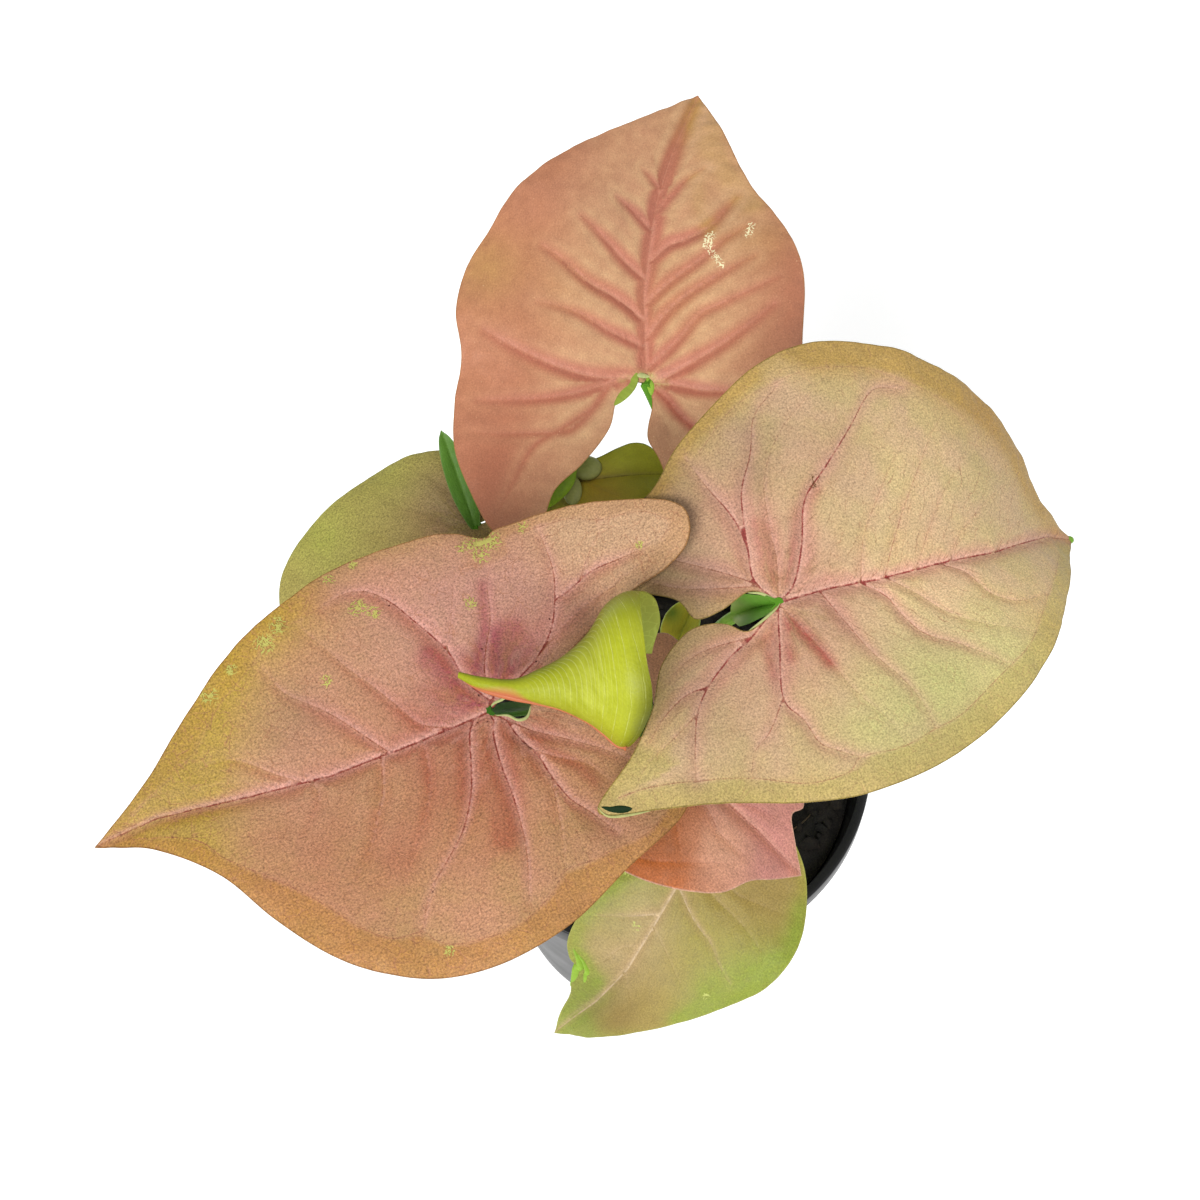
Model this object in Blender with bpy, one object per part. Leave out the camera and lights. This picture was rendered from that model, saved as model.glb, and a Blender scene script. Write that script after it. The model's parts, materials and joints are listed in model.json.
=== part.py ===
"""Potted neon robusta syngonium: a black nursery pot, potting mix and ten separate leaves.

Sizes are millimetres in the tables and metres in the scene.
World frame: +Z up, origin at the centre of the pot's flat base, +X to the right,
+Y away from the viewer.
"""
import math

import bmesh
import bpy
import numpy as np
from mathutils import Vector
from mathutils.geometry import delaunay_2d_cdt

MM = 0.001

# pot
POT_BASE_R = 42.0
POT_HEIGHT = 106.0
POT_WALL = 1.2
POT_FLOOR = 1.6
LIP_OUT_R = 60.0
LIP_DROP = 7.0
LIP_STEP = 1.6
LIP_ROUND = 0.6
BASE_ROUND = 0.8
WALL_RINGS = (35.0, 70.0)
POT_SEGMENTS = 72
DRAIN_HOLES = 8
DRAIN_R = 4.0
DRAIN_RING_R = 29.0
DRAIN_SIDES = 16
CUT_PAST = 2.0

# potting mix
GAP = 0.3
SOIL_TOP = 97.0
SOIL_EDGE = 95.0
SOIL_MID = 50.0
SOIL_BUMP = 0.84
FACET_SLACK = 0.25
SOIL_RINGS = 9
SOIL_SEGMENTS = 48
HOLE_DEPTH = 20.0
HOLE_SIDES = 16

# leaves
BLADE = 0.7
KEEL = 1.5
SPACING = 6.0
ROW_STEP = 0.87
CLEAR_OF_EDGE = 0.62
STALK_SIDES = 10
STALK_RINGS = 18
STALK_TOP_R = 1.25
STALK_UPRIGHT = 2.0
STALK_RISE = 0.4
STALK_THROUGH = 0.7
STALK_TAPER = 0.8
CURL_POWER = 1.5
STRAIGHT = [(0, 0), (1, 0)]
WELD = 0.00001
SMOOTH_ANGLE = 40

# Each leaf is given flat first and then bent into place.
# In a leaf's flat frame the stalk joins at the origin, x runs to the leaf tip,
# and each half is a list of (x, distance from the midrib) from the notch to the tip.
# Angles are degrees: fold lifts a half from the midrib, curl bends it down again,
# lobe_drop bends the part behind the stalk down, and bow lists (x, sideways shift of the midrib).
LEAVES = {
    "leaf_west": dict(
        joint=(-37.3, -47.8, 226.0), heading=200.4, pitch=4, droop=16, roll=-8,
        fold=(8, 8), curl=(17, 16), lobe_drop=(10, -32), wave=1.0, waves=5,
        bow=[(0, 0), (20, 2), (38, 3), (55, 1.5), (75, -1), (89, 0)],
        left=[(-1, 1.5), (-4, 2.8), (-7, 1.5), (-13, 4.6), (-19, 9.2), (-26, 15), (-33, 25), (-29, 34),
              (-13, 42), (1, 49), (15, 52.2), (29, 51), (40, 46.2), (48.5, 39.4), (57, 28.6),
              (65, 16), (76, 6), (84, 2.2), (89, 0)],
        right=[(-1, 1.5), (-4, 2.4), (-8, 1.8), (-13, 4), (-20, 7.8), (-28, 11.8), (-37, 14.6),
               (-45, 16), (-52, 20), (-53, 27), (-45, 33), (-28, 38.5), (-13, 39.7), (-9, 38.2),
               (-3, 41), (4, 42), (22, 42), (37, 36.4), (50, 30), (63, 19.5), (74, 9.6), (84, 3),
               (89, 0)],
        foot=(-6, -4), foot_r=2.4, lean=(-0.35, -0.55), reach=45),
    "leaf_east": dict(
        joint=(22.7, -23.3, 228.0), heading=23.1, pitch=-2, droop=44, roll=10,
        fold=(14, 10), curl=(10, 19), lobe_drop=(30, -12), wave=0.8, waves=4,
        bow=[(0, 0), (12, -0.5), (25, -2), (60, -2), (85, 0.8), (96.7, 0)],
        left=[(-1, 1.5), (-5, 4.5), (-12, 3), (-18, 3.5), (-20, 9), (-27, 15), (-31, 23),
              (-27, 30), (-16, 33), (-7, 40.5), (4, 47), (16, 52.5), (30, 55), (45, 52),
              (60, 44.9), (74, 35.5), (82, 24), (84.5, 11.5), (91, 4), (96.7, 0)],
        right=[(-1, 1), (-9, 4), (-13, 0.5), (-19, -1), (-24, 0.5), (-31, 5.5), (-37, 14),
               (-46, 22.5), (-57, 30), (-55, 33), (-43, 35.3), (-29, 38.5), (-14, 43.5), (0, 46.6),
               (17, 46), (35, 41.2), (53, 32.3), (70, 20.6), (87, 7), (96.7, 0)],
        foot=(8, 2), foot_r=2.4, lean=(0.15, -0.5), reach=45),
    "leaf_north": dict(
        joint=(-4.6, 53.5, 205.0), heading=80.9, pitch=22, droop=30, roll=-2,
        fold=(16, 12), curl=(22, 22), lobe_drop=(-13, -12), wave=1.2, waves=5,
        bow=[(0, 0), (12, 2), (23, 4), (50, 5), (66, 3.5), (80, 1.5), (90, 0)],
        left=[(-0.5, 2.5), (-6, 6.5), (-14, 7.5), (-24, 12.5), (-32, 18), (-41, 20), (-48, 26),
              (-45, 32), (-37, 38), (-26, 44), (-13, 46.5), (0, 46.8), (10, 49.7), (22, 49.5),
              (34, 45), (46, 39.8), (60, 29.2), (73, 15), (83, 5.6), (90, 0)],
        right=[(-1, 1), (-6, 2.5), (-14, 2.5), (-20, 6.5), (-30, 12), (-38, 20), (-37, 30),
               (-25, 37), (-5, 39.5), (15, 37.4), (32, 35.4), (44, 29.2), (58, 17.8), (76, 8.2),
               (90, 0)],
        foot=(6, 14), foot_r=2.3, lean=(-0.65, 0.5), reach=45),
    "leaf_south": dict(
        joint=(8.1, -53.0, 160.0), heading=229.6, pitch=-18, droop=50, roll=-14,
        fold=(6, 6), curl=(12, 12), lobe_drop=(0, 0), wave=0.9, waves=4,
        bow=[(0, 0), (11, 1), (22, 2.5), (35, 4), (48, 3), (58, 1), (66, 0)],
        left=[(-1, 1), (-8, 5), (-16, 12), (-13, 21), (-5, 28.5), (5, 32.8), (17, 32.3),
              (30, 25.8), (43, 17.6), (56, 9.2), (62, 3.8), (66.5, 0)],
        right=[(-1, 1), (-7, 4), (-12, 8), (-10, 12), (0, 12), (12, 11), (23, 13.5),
               (31, 13.5), (38, 12), (42, 9), (43, 6), (47, 5), (51, 3.2), (58, 2.2), (66.5, 0)],
        foot=(7, -9), foot_r=2.2, lean=(0.1, -0.9), reach=30),
    "leaf_blush": dict(
        joint=(-2.2, -45.8, 200.0), heading=-36.4, pitch=-5, droop=35, roll=0,
        fold=(8, 8), curl=(15, 15), lobe_drop=(0, 0), wave=0.8, waves=3,
        left=[(-1, 1), (-7, 7), (-12, 13), (-14, 18), (-10, 21), (-1, 21), (12, 20),
              (25, 17), (32.5, 12), (31.8, 8), (37.5, 3.6), (43, 0)],
        right=[(-1, 1), (-9, 6), (-17, 11), (-20, 18), (-12, 25), (0, 28.5), (10, 28),
               (21, 23.5), (29, 17.5), (33, 10.5), (38, 5.5), (43, 0)],
        foot=(0, -9), foot_r=2.2, lean=(0.1, -0.6), reach=40),
    "leaf_nw": dict(
        joint=(-47.9, 25.6, 182.0), heading=204.7, pitch=0, droop=30, roll=0,
        fold=(8, 8), curl=(15, 15), lobe_drop=(0, 0), wave=1.0, waves=4,
        left=[(-1, 1), (-8, 5), (-16, 10), (-17, 17), (-9, 22), (2, 24), (15, 25), (28, 22),
              (40, 16), (50, 7.5), (56, 0)],
        right=[(-1, 1), (-8, 5), (-15, 10), (-15, 17), (-8, 21), (1, 24.5), (10, 26.5),
               (18, 26), (30, 22.6), (40, 19.2), (50, 12.6), (56, 0)],
        foot=(-13, 4), foot_r=2.2, lean=(-0.6, 0.2), reach=40),
    "leaf_back": dict(
        joint=(-23.2, 36.3, 185.0), heading=8.4, pitch=10, droop=25, roll=0,
        fold=(15, 15), curl=(15, 15), lobe_drop=(0, 0), wave=0.5, waves=3,
        left=[(-1, 1), (-4, 2.5), (-4, 4), (2, 4.6), (8, 6), (14, 8.6), (18, 9), (22, 6.5),
              (25, 0)],
        right=[(-1, 1), (-6, 4), (-8, 9), (-3, 13), (6, 13), (14, 11), (20, 6.5), (25, 0)],
        foot=(-5, 11), foot_r=2.0, lean=(-0.2, 0.3), reach=35),
    "leaf_new": dict(
        joint=(0.2, -14.9, 185.0), heading=61.0, pitch=32, droop=10, roll=0,
        fold=(35, 35), curl=(10, 10), lobe_drop=(0, 0), wave=0.0, waves=2, spacing=3.0,
        left=[(-1, 0.8), (3, 3.2), (8, 4.6), (13, 3.4), (18, 0)],
        right=[(-1, 0.8), (3, 3.2), (8, 4.6), (13, 3.4), (18, 0)],
        foot=(2, -3), foot_r=1.8, lean=(0.0, -0.2), reach=30),
}

# A lobe edge of leaf_nw is rolled up like a spear beside its stalk.
SPEAR = dict(
    joint=(-47.6, 25.2, 182.0), heading=114.0, pitch=42, droop=8, roll=0,
    fold=(50, 50), curl=(0, 0), lobe_drop=(0, 0), wave=0.0, waves=2, spacing=4.0,
    left=[(-1, 0.8), (3, 2.2), (10, 3.2), (17, 3), (23, 1.8), (26, 0)],
    right=[(-1, 0.8), (3, 2.2), (10, 3.2), (17, 3), (23, 1.8), (26, 0)])

# The young leaf is still rolled: stations from its tip to its wide end,
# as (x, y, z) of the middle and the radius of the roll.
ROLL_STATIONS = [
    ((-45.3, -46.4, 238.2), 0.9),
    ((-40.7, -48.4, 238.4), 1.2),
    ((-33.8, -50.0, 239.0), 1.9),
    ((-28.5, -49.8, 239.5), 3.5),
    ((-23.7, -49.2, 240.0), 5.5),
    ((-18.6, -48.1, 240.2), 9.0),
    ((-15.3, -46.2, 240.2), 13.0),
    ((-11.7, -46.0, 240.0), 15.7),
    ((-8.5, -45.9, 240.0), 16.0),
]
# How far the wide end reaches past the last station, by angle round the roll.
ROLL_END = [(205, -2.2), (190, -1.2), (172, 0.6), (147, 2.8), (132, 2.8), (112, 1.6), (76, 0.6),
            (40, 0.3), (28, 1.2), (12, 3.2), (0, 4.4), (-23, 5.4), (-50, 3.4)]
ROLL_ANGLES = (205, -50)
ROLL_STEPS = 22
ROLL_ROWS = 16
ROLL_FOOT = (-4, 4)
ROLL_FOOT_R = 2.2
ROLL_LEAN = (0.05, -0.25)
ROLL_REACH = 50
ROLL_JOINT = (0.86, -35.0)
ROLL_END_POWER = 6

MATERIALS = {
    "pot": ("pot_plastic", (0.012, 0.012, 0.013), 0.45),
    "potting_mix": ("potting_mix", (0.035, 0.025, 0.018), 0.95),
    "leaf_west": ("leaf_pink_orange", (0.62, 0.28, 0.20), 0.5),
    "leaf_east": ("leaf_tan", (0.52, 0.36, 0.20), 0.5),
    "leaf_north": ("leaf_salmon", (0.66, 0.27, 0.18), 0.5),
    "leaf_south": ("leaf_green_tan", (0.42, 0.40, 0.14), 0.5),
    "leaf_blush": ("leaf_blush", (0.70, 0.26, 0.20), 0.5),
    "leaf_nw": ("leaf_soft_green", (0.40, 0.42, 0.18), 0.5),
    "leaf_back": ("leaf_olive", (0.30, 0.30, 0.08), 0.5),
    "leaf_new": ("leaf_new_lime", (0.36, 0.46, 0.08), 0.5),
    "leaf_rolled": ("leaf_lime", (0.50, 0.55, 0.06), 0.45),
}


def clear_scene():
    """Start from an empty scene."""
    for item in list(bpy.data.objects):
        bpy.data.objects.remove(item, do_unlink=True)


def make_object(name, verts, faces):
    mesh = bpy.data.meshes.new(name)
    mesh.from_pydata([tuple(v) for v in verts], [], [tuple(f) for f in faces])
    mesh.validate()
    body = bmesh.new()
    body.from_mesh(mesh)
    bmesh.ops.recalc_face_normals(body, faces=body.faces)
    bmesh.ops.triangulate(body, faces=body.faces)
    body.to_mesh(mesh)
    body.free()
    mesh.shade_smooth()
    item = bpy.data.objects.new(name, mesh)
    bpy.context.scene.collection.objects.link(item)
    return item


def paint(item):
    label, colour, rough = MATERIALS[item.name]
    material = bpy.data.materials.new(label)
    material.use_nodes = True
    shader = material.node_tree.nodes["Principled BSDF"]
    shader.inputs["Base Color"].default_value = (*colour, 1.0)
    shader.inputs["Roughness"].default_value = rough
    item.data.materials.clear()
    item.data.materials.append(material)


def apply_boolean(item, others, operation):
    """Join or cut with every object in others, then remove them."""
    group = bpy.data.collections.new(item.name + "_tools")
    bpy.context.scene.collection.children.link(group)
    for other in others:
        group.objects.link(other)
    step = item.modifiers.new("join", "BOOLEAN")
    step.operation = operation
    step.operand_type = "COLLECTION"
    step.collection = group
    step.solver = "EXACT"
    bpy.context.view_layer.objects.active = item
    bpy.ops.object.select_all(action="DESELECT")
    item.select_set(True)
    bpy.ops.object.modifier_apply(modifier=step.name)
    for other in others:
        bpy.data.objects.remove(other, do_unlink=True)
    bpy.data.collections.remove(group)
    body = bmesh.new()
    body.from_mesh(item.data)
    bmesh.ops.remove_doubles(body, verts=body.verts, dist=WELD)
    bmesh.ops.triangulate(body, faces=body.faces)
    body.to_mesh(item.data)
    body.free()
    item.data.set_sharp_from_angle(angle=math.radians(SMOOTH_ANGLE))


def lathe(profile, segments):
    """Turn a closed (radius, height) outline about the vertical axis."""
    verts = []
    faces = []
    rings = []
    for radius, height in profile:
        if radius < 0.001:
            rings.append([len(verts)])
            verts.append((0.0, 0.0, height * MM))
            continue
        rings.append(list(range(len(verts), len(verts) + segments)))
        for k in range(segments):
            a = 2 * math.pi * k / segments
            verts.append((radius * math.cos(a) * MM, radius * math.sin(a) * MM, height * MM))
    for i in range(len(rings)):
        low = rings[i]
        high = rings[(i + 1) % len(rings)]
        if len(low) == 1 and len(high) == 1:
            continue
        for k in range(segments):
            n = (k + 1) % segments
            if len(low) == 1:
                faces.append((low[0], high[k], high[n]))
            elif len(high) == 1:
                faces.append((low[k], low[n], high[0]))
            else:
                faces.append((low[k], low[n], high[n], high[k]))
    return verts, faces


def cylinder(name, x, y, low, high, radius, sides):
    verts = []
    for height in (low, high):
        for k in range(sides):
            a = 2 * math.pi * (k + 0.5) / sides
            verts.append(((x + radius * math.cos(a)) * MM, (y + radius * math.sin(a)) * MM,
                          height * MM))
    faces = [tuple(range(sides))[::-1], tuple(range(sides, 2 * sides))]
    for k in range(sides):
        n = (k + 1) % sides
        faces.append((k, n, sides + n, sides + k))
    return make_object(name, verts, faces)


def wall_radius(height):
    """Outside radius of the plain pot wall."""
    top = LIP_OUT_R - LIP_STEP
    return POT_BASE_R + (top - POT_BASE_R) * height / POT_HEIGHT


def make_pot():
    lip_low = POT_HEIGHT - LIP_DROP
    low_ring, high_ring = WALL_RINGS
    outside = [
        (0.0, 0.0),
        (POT_BASE_R - BASE_ROUND, 0.0),
        (POT_BASE_R, BASE_ROUND),
        (wall_radius(low_ring), low_ring),
        (wall_radius(high_ring), high_ring),
        (wall_radius(lip_low), lip_low),
        (LIP_OUT_R - LIP_ROUND, lip_low),
        (LIP_OUT_R, lip_low + LIP_ROUND),
        (LIP_OUT_R, POT_HEIGHT - LIP_ROUND),
        (LIP_OUT_R - LIP_ROUND, POT_HEIGHT),
    ]
    inner_top = wall_radius(POT_HEIGHT) - POT_WALL
    inside_wall = [
        (inner_top + LIP_ROUND, POT_HEIGHT),
        (inner_top, POT_HEIGHT - LIP_ROUND),
        (wall_radius(high_ring) - POT_WALL, high_ring),
        (wall_radius(low_ring) - POT_WALL, low_ring),
        (wall_radius(POT_FLOOR) - POT_WALL, POT_FLOOR),
        (0.0, POT_FLOOR),
    ]
    verts, faces = lathe(outside + inside_wall, POT_SEGMENTS)
    pot = make_object("pot", verts, faces)
    cutters = []
    for k in range(DRAIN_HOLES):
        a = 2 * math.pi * (k + 0.5) / DRAIN_HOLES
        x = DRAIN_RING_R * math.cos(a)
        y = DRAIN_RING_R * math.sin(a)
        cutters.append(cylinder("drain", x, y, -CUT_PAST, POT_FLOOR + CUT_PAST, DRAIN_R,
                                DRAIN_SIDES))
    apply_boolean(pot, cutters, "DIFFERENCE")
    return pot


def soil_height(x, y):
    """Gentle uneven surface of the potting mix."""
    ripple = math.sin(0.21 * x + 0.9) * math.cos(0.17 * y - 0.4)
    fine = 0.5 * math.sin(0.43 * x - 0.31 * y + 2.0)
    return SOIL_TOP + SOIL_BUMP * (ripple + fine)


def make_soil(stalks):
    low = POT_FLOOR + GAP
    inset = POT_WALL + GAP + FACET_SLACK
    edge = wall_radius(SOIL_EDGE) - inset
    profile = [
        (0.0, low),
        (wall_radius(low) - inset, low),
        (wall_radius(SOIL_MID) - inset, SOIL_MID),
        (edge, SOIL_EDGE),
    ]
    for k in range(1, SOIL_RINGS):
        profile.append((edge * (1 - k / SOIL_RINGS), SOIL_TOP))
    profile.append((0.0, SOIL_TOP))
    verts, faces = lathe(profile, SOIL_SEGMENTS)
    shaped = []
    for x, y, z in verts:
        if z > (SOIL_EDGE + GAP) * MM:
            z = soil_height(x / MM, y / MM) * MM
        shaped.append((x, y, z))
    soil = make_object("potting_mix", shaped, faces)
    cutters = []
    for x, y, radius in stalks:
        hole_r = (radius + GAP) / math.cos(math.pi / HOLE_SIDES)
        cutters.append(cylinder("stalk_hole", x, y, SOIL_TOP - HOLE_DEPTH - GAP,
                                SOIL_TOP + HOLE_DEPTH, hole_r, HOLE_SIDES))
    apply_boolean(soil, cutters, "DIFFERENCE")
    return soil


def smooth_path(points, count):
    """Evenly spaced points on a soft curve through the given ones."""
    pts = np.array(points, float)
    ends = np.vstack([2 * pts[0] - pts[1], pts, 2 * pts[-1] - pts[-2]])
    dense = []
    for k in range(1, len(ends) - 2):
        a, b, c, d = ends[k - 1], ends[k], ends[k + 1], ends[k + 2]
        for t in np.linspace(0, 1, 12, endpoint=False):
            dense.append(0.5 * (2 * b + (c - a) * t + (2 * a - 5 * b + 4 * c - d) * t * t
                                + (3 * b - a - 3 * c + d) * t ** 3))
    dense.append(pts[-1])
    dense = np.array(dense)
    along = np.concatenate([[0], np.cumsum(np.linalg.norm(np.diff(dense, axis=0), axis=1))])
    want = np.linspace(0, along[-1], count)
    return np.stack([np.interp(want, along, dense[:, i]) for i in range(dense.shape[1])], 1)


def run(steps, angle):
    """Horizontal and vertical travel along a curve with the given slope angles."""
    ds = np.diff(steps)
    c = np.cos(angle)
    s = np.sin(angle)
    flat = np.concatenate([[0], np.cumsum((c[1:] + c[:-1]) / 2 * ds)])
    rise = np.concatenate([[0], np.cumsum((s[1:] + s[:-1]) / 2 * ds)])
    return flat, rise


def turn(axis, angle):
    """Rotation matrix about an axis."""
    x, y, z = np.array(axis, float) / np.linalg.norm(axis)
    k = np.array([[0, -z, y], [z, 0, -x], [-y, x, 0]])
    return np.eye(3) + math.sin(angle) * k + (1 - math.cos(angle)) * k @ k


def leaf_frame(leaf):
    """Rotation from the leaf's own frame to the plant's."""
    pitch = math.radians(leaf["pitch"])
    start = (math.cos(pitch), 0.0, math.sin(pitch))
    return turn((0, 0, 1), math.radians(leaf["heading"])) @ turn(start, math.radians(leaf["roll"]))


def bend_half(leaf, side, x, w):
    """Carry flat points of one half (side +1 left, -1 right) to their place in the plant."""
    which = 0 if side > 0 else 1
    length = leaf["left"][-1][0]
    outline = np.array(leaf["left"] if side > 0 else leaf["right"], float)
    half_width = outline[:, 1].max()
    lobe_length = max(4.0, -outline[:, 0].min())
    pitch = math.radians(leaf["pitch"])
    ahead = np.linspace(0, length * 1.1, 240)
    slope = pitch - math.radians(leaf["droop"]) * (ahead / length)
    ahead_run, ahead_rise = run(ahead, slope)
    behind = np.linspace(0, lobe_length * 1.2, 160)
    lobe_slope = pitch + math.radians(leaf["lobe_drop"][which]) * (behind / lobe_length)
    behind_run, behind_rise = run(behind, lobe_slope)
    is_ahead = x >= 0
    mid_x = np.where(is_ahead, np.interp(x, ahead, ahead_run), -np.interp(-x, behind, behind_run))
    mid_z = np.where(is_ahead, np.interp(x, ahead, ahead_rise),
                     -np.interp(-x, behind, behind_rise))
    angle = np.where(is_ahead, np.interp(x, ahead, slope), np.interp(-x, behind, lobe_slope))
    across = np.linspace(0, half_width * 1.3, 200)
    lift = (math.radians(leaf["fold"][which])
            - math.radians(leaf["curl"][which]) * (across / half_width) ** CURL_POWER)
    across_run, across_rise = run(across, lift)
    inner = np.minimum(w, 0.0)
    outward = np.interp(w, across, across_run) + inner
    local_width = np.maximum(1.0, np.interp(x, outline[:, 0][outline[:, 0] > 0],
                                            outline[:, 1][outline[:, 0] > 0]))
    shift_x, shift = np.array(leaf.get("bow", STRAIGHT), float).T
    sideways = np.interp(x, shift_x, shift) * (1 - np.clip(w / local_width, 0, 1))
    up = np.interp(w, across, across_rise)
    reach = np.clip(w / half_width, 0, 1)
    up = up + leaf["wave"] * reach ** 2 * np.sin(x / length * math.pi * leaf["waves"] + which)
    local = np.stack([mid_x - np.sin(angle) * up, side * outward + sideways,
                      mid_z + np.cos(angle) * up], 1)
    return local @ leaf_frame(leaf).T + np.array(leaf["joint"])


def inside(points, loop):
    """True for each point that lies inside a closed loop."""
    result = np.zeros(len(points), bool)
    for (ax, ay), (bx, by) in zip(loop, np.roll(loop, -1, axis=0)):
        if ay == by:
            continue
        crosses = (ay > points[:, 1]) != (by > points[:, 1])
        edge_x = ax + (points[:, 1] - ay) / (by - ay) * (bx - ax)
        result ^= crosses & (points[:, 0] < edge_x)
    return result


def half_sheet(leaf, side, spacing):
    """Flat triangles of one half, with even spacing along the margin and inside."""
    outline = np.array(leaf["left"] if side > 0 else leaf["right"], float)
    length = outline[-1][0]
    margin_length = np.linalg.norm(np.diff(outline, axis=0), axis=1).sum()
    margin = smooth_path(outline, int(margin_length / spacing) + 2)
    mid_count = max(3, int(length / spacing))
    midrib = np.stack([np.linspace(length, 0, mid_count + 1)[1:], np.zeros(mid_count)], 1)
    loop = np.vstack([midrib[-1:], margin, midrib[:-1]])
    low = loop.min(axis=0)
    high = loop.max(axis=0)
    inner = []
    row_step = spacing * ROW_STEP
    for row in range(int((high[1] - low[1]) / row_step) + 1):
        shift = 0.5 * spacing * (row % 2)
        for x in np.arange(low[0] + shift, high[0], spacing):
            inner.append((x, low[1] + row * row_step))
    inner = np.array(inner)
    inner = inner[inside(inner, loop)]
    nearest = np.linalg.norm(inner[:, None] - loop[None], axis=2).min(axis=1)
    inner = inner[nearest > CLEAR_OF_EDGE * spacing]
    points = [Vector(p) for p in np.vstack([loop, inner])]
    result = delaunay_2d_cdt(points, [], [list(range(len(loop)))], 1, 0.001)
    return np.array([tuple(v) for v in result[0]]), [tuple(f) for f in result[2]]


def blade_sheet(leaf, spacing):
    """Middle surface of the whole blade: points, triangles and the midrib weight of each point."""
    index = {}
    points = []
    rib_weight = []
    tris = []
    length = leaf["left"][-1][0]
    for side in (1, -1):
        flat, faces = half_sheet(leaf, side, spacing)
        placed = bend_half(leaf, side, flat[:, 0], flat[:, 1])
        order = []
        for (x, w), place in zip(flat, placed):
            on_mid = abs(w) < 0.001 and x > -0.001
            key = (round(x, 3), 0.0 if on_mid else side * round(w, 3))
            if key not in index:
                index[key] = len(points)
                points.append(place)
                rib_weight.append(max(0.0, 1 - x / length) if on_mid else 0.0)
            order.append(index[key])
        for face in faces:
            corners = [order[k] for k in face]
            tris.append(corners if side > 0 else corners[::-1])
    return np.array(points), np.array(tris), np.array(rib_weight)


def sheet_normals(points, tris):
    """Average normal at each point."""
    a, b, c = (points[tris[:, k]] for k in range(3))
    face = np.cross(b - a, c - a)
    normals = np.zeros_like(points)
    for k in range(3):
        np.add.at(normals, tris[:, k], face)
    return normals / np.linalg.norm(normals, axis=1, keepdims=True)


def thicken(points, tris, up, thick, keel):
    """Close a sheet into a solid with the same triangles on both faces."""
    normals = sheet_normals(points, tris)
    if normals[0] @ up < 0:
        tris = tris[:, ::-1]
        normals = -normals
    top = points + normals * thick / 2
    low = points - normals * (thick / 2 + keel[:, None])
    n = len(points)
    faces = [tuple(t) for t in tris] + [tuple(n + t[::-1]) for t in tris]
    edges = {}
    for t in tris:
        for k in range(3):
            edges[(t[k], t[(k + 1) % 3])] = True
    for a, b in edges:
        if (b, a) not in edges:
            faces.append((b, a, n + a))
            faces.append((b, n + a, n + b))
    return np.vstack([top, low]), faces


def bezier(p, count):
    """Points on a cubic curve with four control points."""
    t = np.linspace(0, 1, count)[:, None]
    p = [np.array(q, float) for q in p]
    return ((1 - t) ** 3 * p[0] + 3 * (1 - t) ** 2 * t * p[1]
            + 3 * (1 - t) * t * t * p[2] + t ** 3 * p[3])


def tube(name, path, radii, sides):
    """Closed tube along a path, with a frame carried along so that it doesn't twist."""
    path = np.array(path)
    tangents = np.gradient(path, axis=0)
    tangents /= np.linalg.norm(tangents, axis=1, keepdims=True)
    side = np.array([1.0, 0.0, 0.0])
    verts = []
    for p, t, r in zip(path, tangents, radii):
        side = side - t * (side @ t)
        side /= np.linalg.norm(side)
        other = np.cross(t, side)
        for k in range(sides):
            a = 2 * math.pi * k / sides
            verts.append((p + r * (math.cos(a) * side + math.sin(a) * other)) * MM)
    faces = [tuple(range(sides))[::-1]]
    last = (len(path) - 1) * sides
    faces.append(tuple(range(last, last + sides)))
    for i in range(len(path) - 1):
        for k in range(sides):
            n = (k + 1) % sides
            a = i * sides
            faces.append((a + k, a + n, a + sides + n, a + sides + k))
    return make_object(name, verts, faces)


def stalk_path(foot, joint, lean, arch, rings):
    """Upright in its hole, then a soft arch to the blade."""
    bottom = np.array([foot[0], foot[1], SOIL_TOP - HOLE_DEPTH])
    ground = np.array([foot[0], foot[1], SOIL_TOP + STALK_UPRIGHT])
    joint = np.array(joint, float)
    rise = joint[2] - ground[2]
    upright = ground + np.array([0, 0, rise * STALK_RISE])
    bow = bezier((ground, upright, joint - lean * arch, joint), rings)
    return np.vstack([bottom, bow])


def stalk_for(name, leaf, top_r):
    lean = np.array([*leaf["lean"], 1.0])
    lean /= np.linalg.norm(lean)
    reach = leaf["reach"]
    path = stalk_path(leaf["foot"], leaf["joint"], lean, reach, STALK_RINGS)
    share = np.linspace(0, 1, len(path) - 1)
    taper = leaf["foot_r"] + (top_r - leaf["foot_r"]) * share ** STALK_TAPER
    radii = np.concatenate([[leaf["foot_r"]], taper])
    path[-1] = path[-1] + lean * STALK_THROUGH
    return tube(name, path, radii, STALK_SIDES)


def roll_point(along, angle):
    """Place on the rolled leaf: along runs 0 to 1, angle is in degrees round the roll."""
    places = np.array([station[0] for station in ROLL_STATIONS])
    sizes = np.array([station[1] for station in ROLL_STATIONS])
    at = along * (len(places) - 1)
    ids = np.arange(len(places))
    centre = np.array([np.interp(at, ids, places[:, k]) for k in range(3)])
    radius = np.interp(at, ids, sizes)
    angles, reach = np.array(ROLL_END[::-1]).T
    centre[0] += np.interp(angle, angles, reach) * along ** ROLL_END_POWER
    a = math.radians(angle)
    return centre + radius * np.array([0.0, math.cos(a), math.sin(a)])


def roll_sheet(rows, steps):
    """Points and triangles of the rolled blade."""
    points = []
    for i in range(rows + 1):
        for j in range(steps + 1):
            angle = ROLL_ANGLES[0] + (ROLL_ANGLES[1] - ROLL_ANGLES[0]) * j / steps
            points.append(roll_point(i / rows, angle))
    tris = []
    for i in range(rows):
        for j in range(steps):
            a = i * (steps + 1) + j
            b = a + steps + 1
            tris.append((a, b, b + 1))
            tris.append((a, b + 1, a + 1))
    return np.array(points), np.array(tris)


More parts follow.
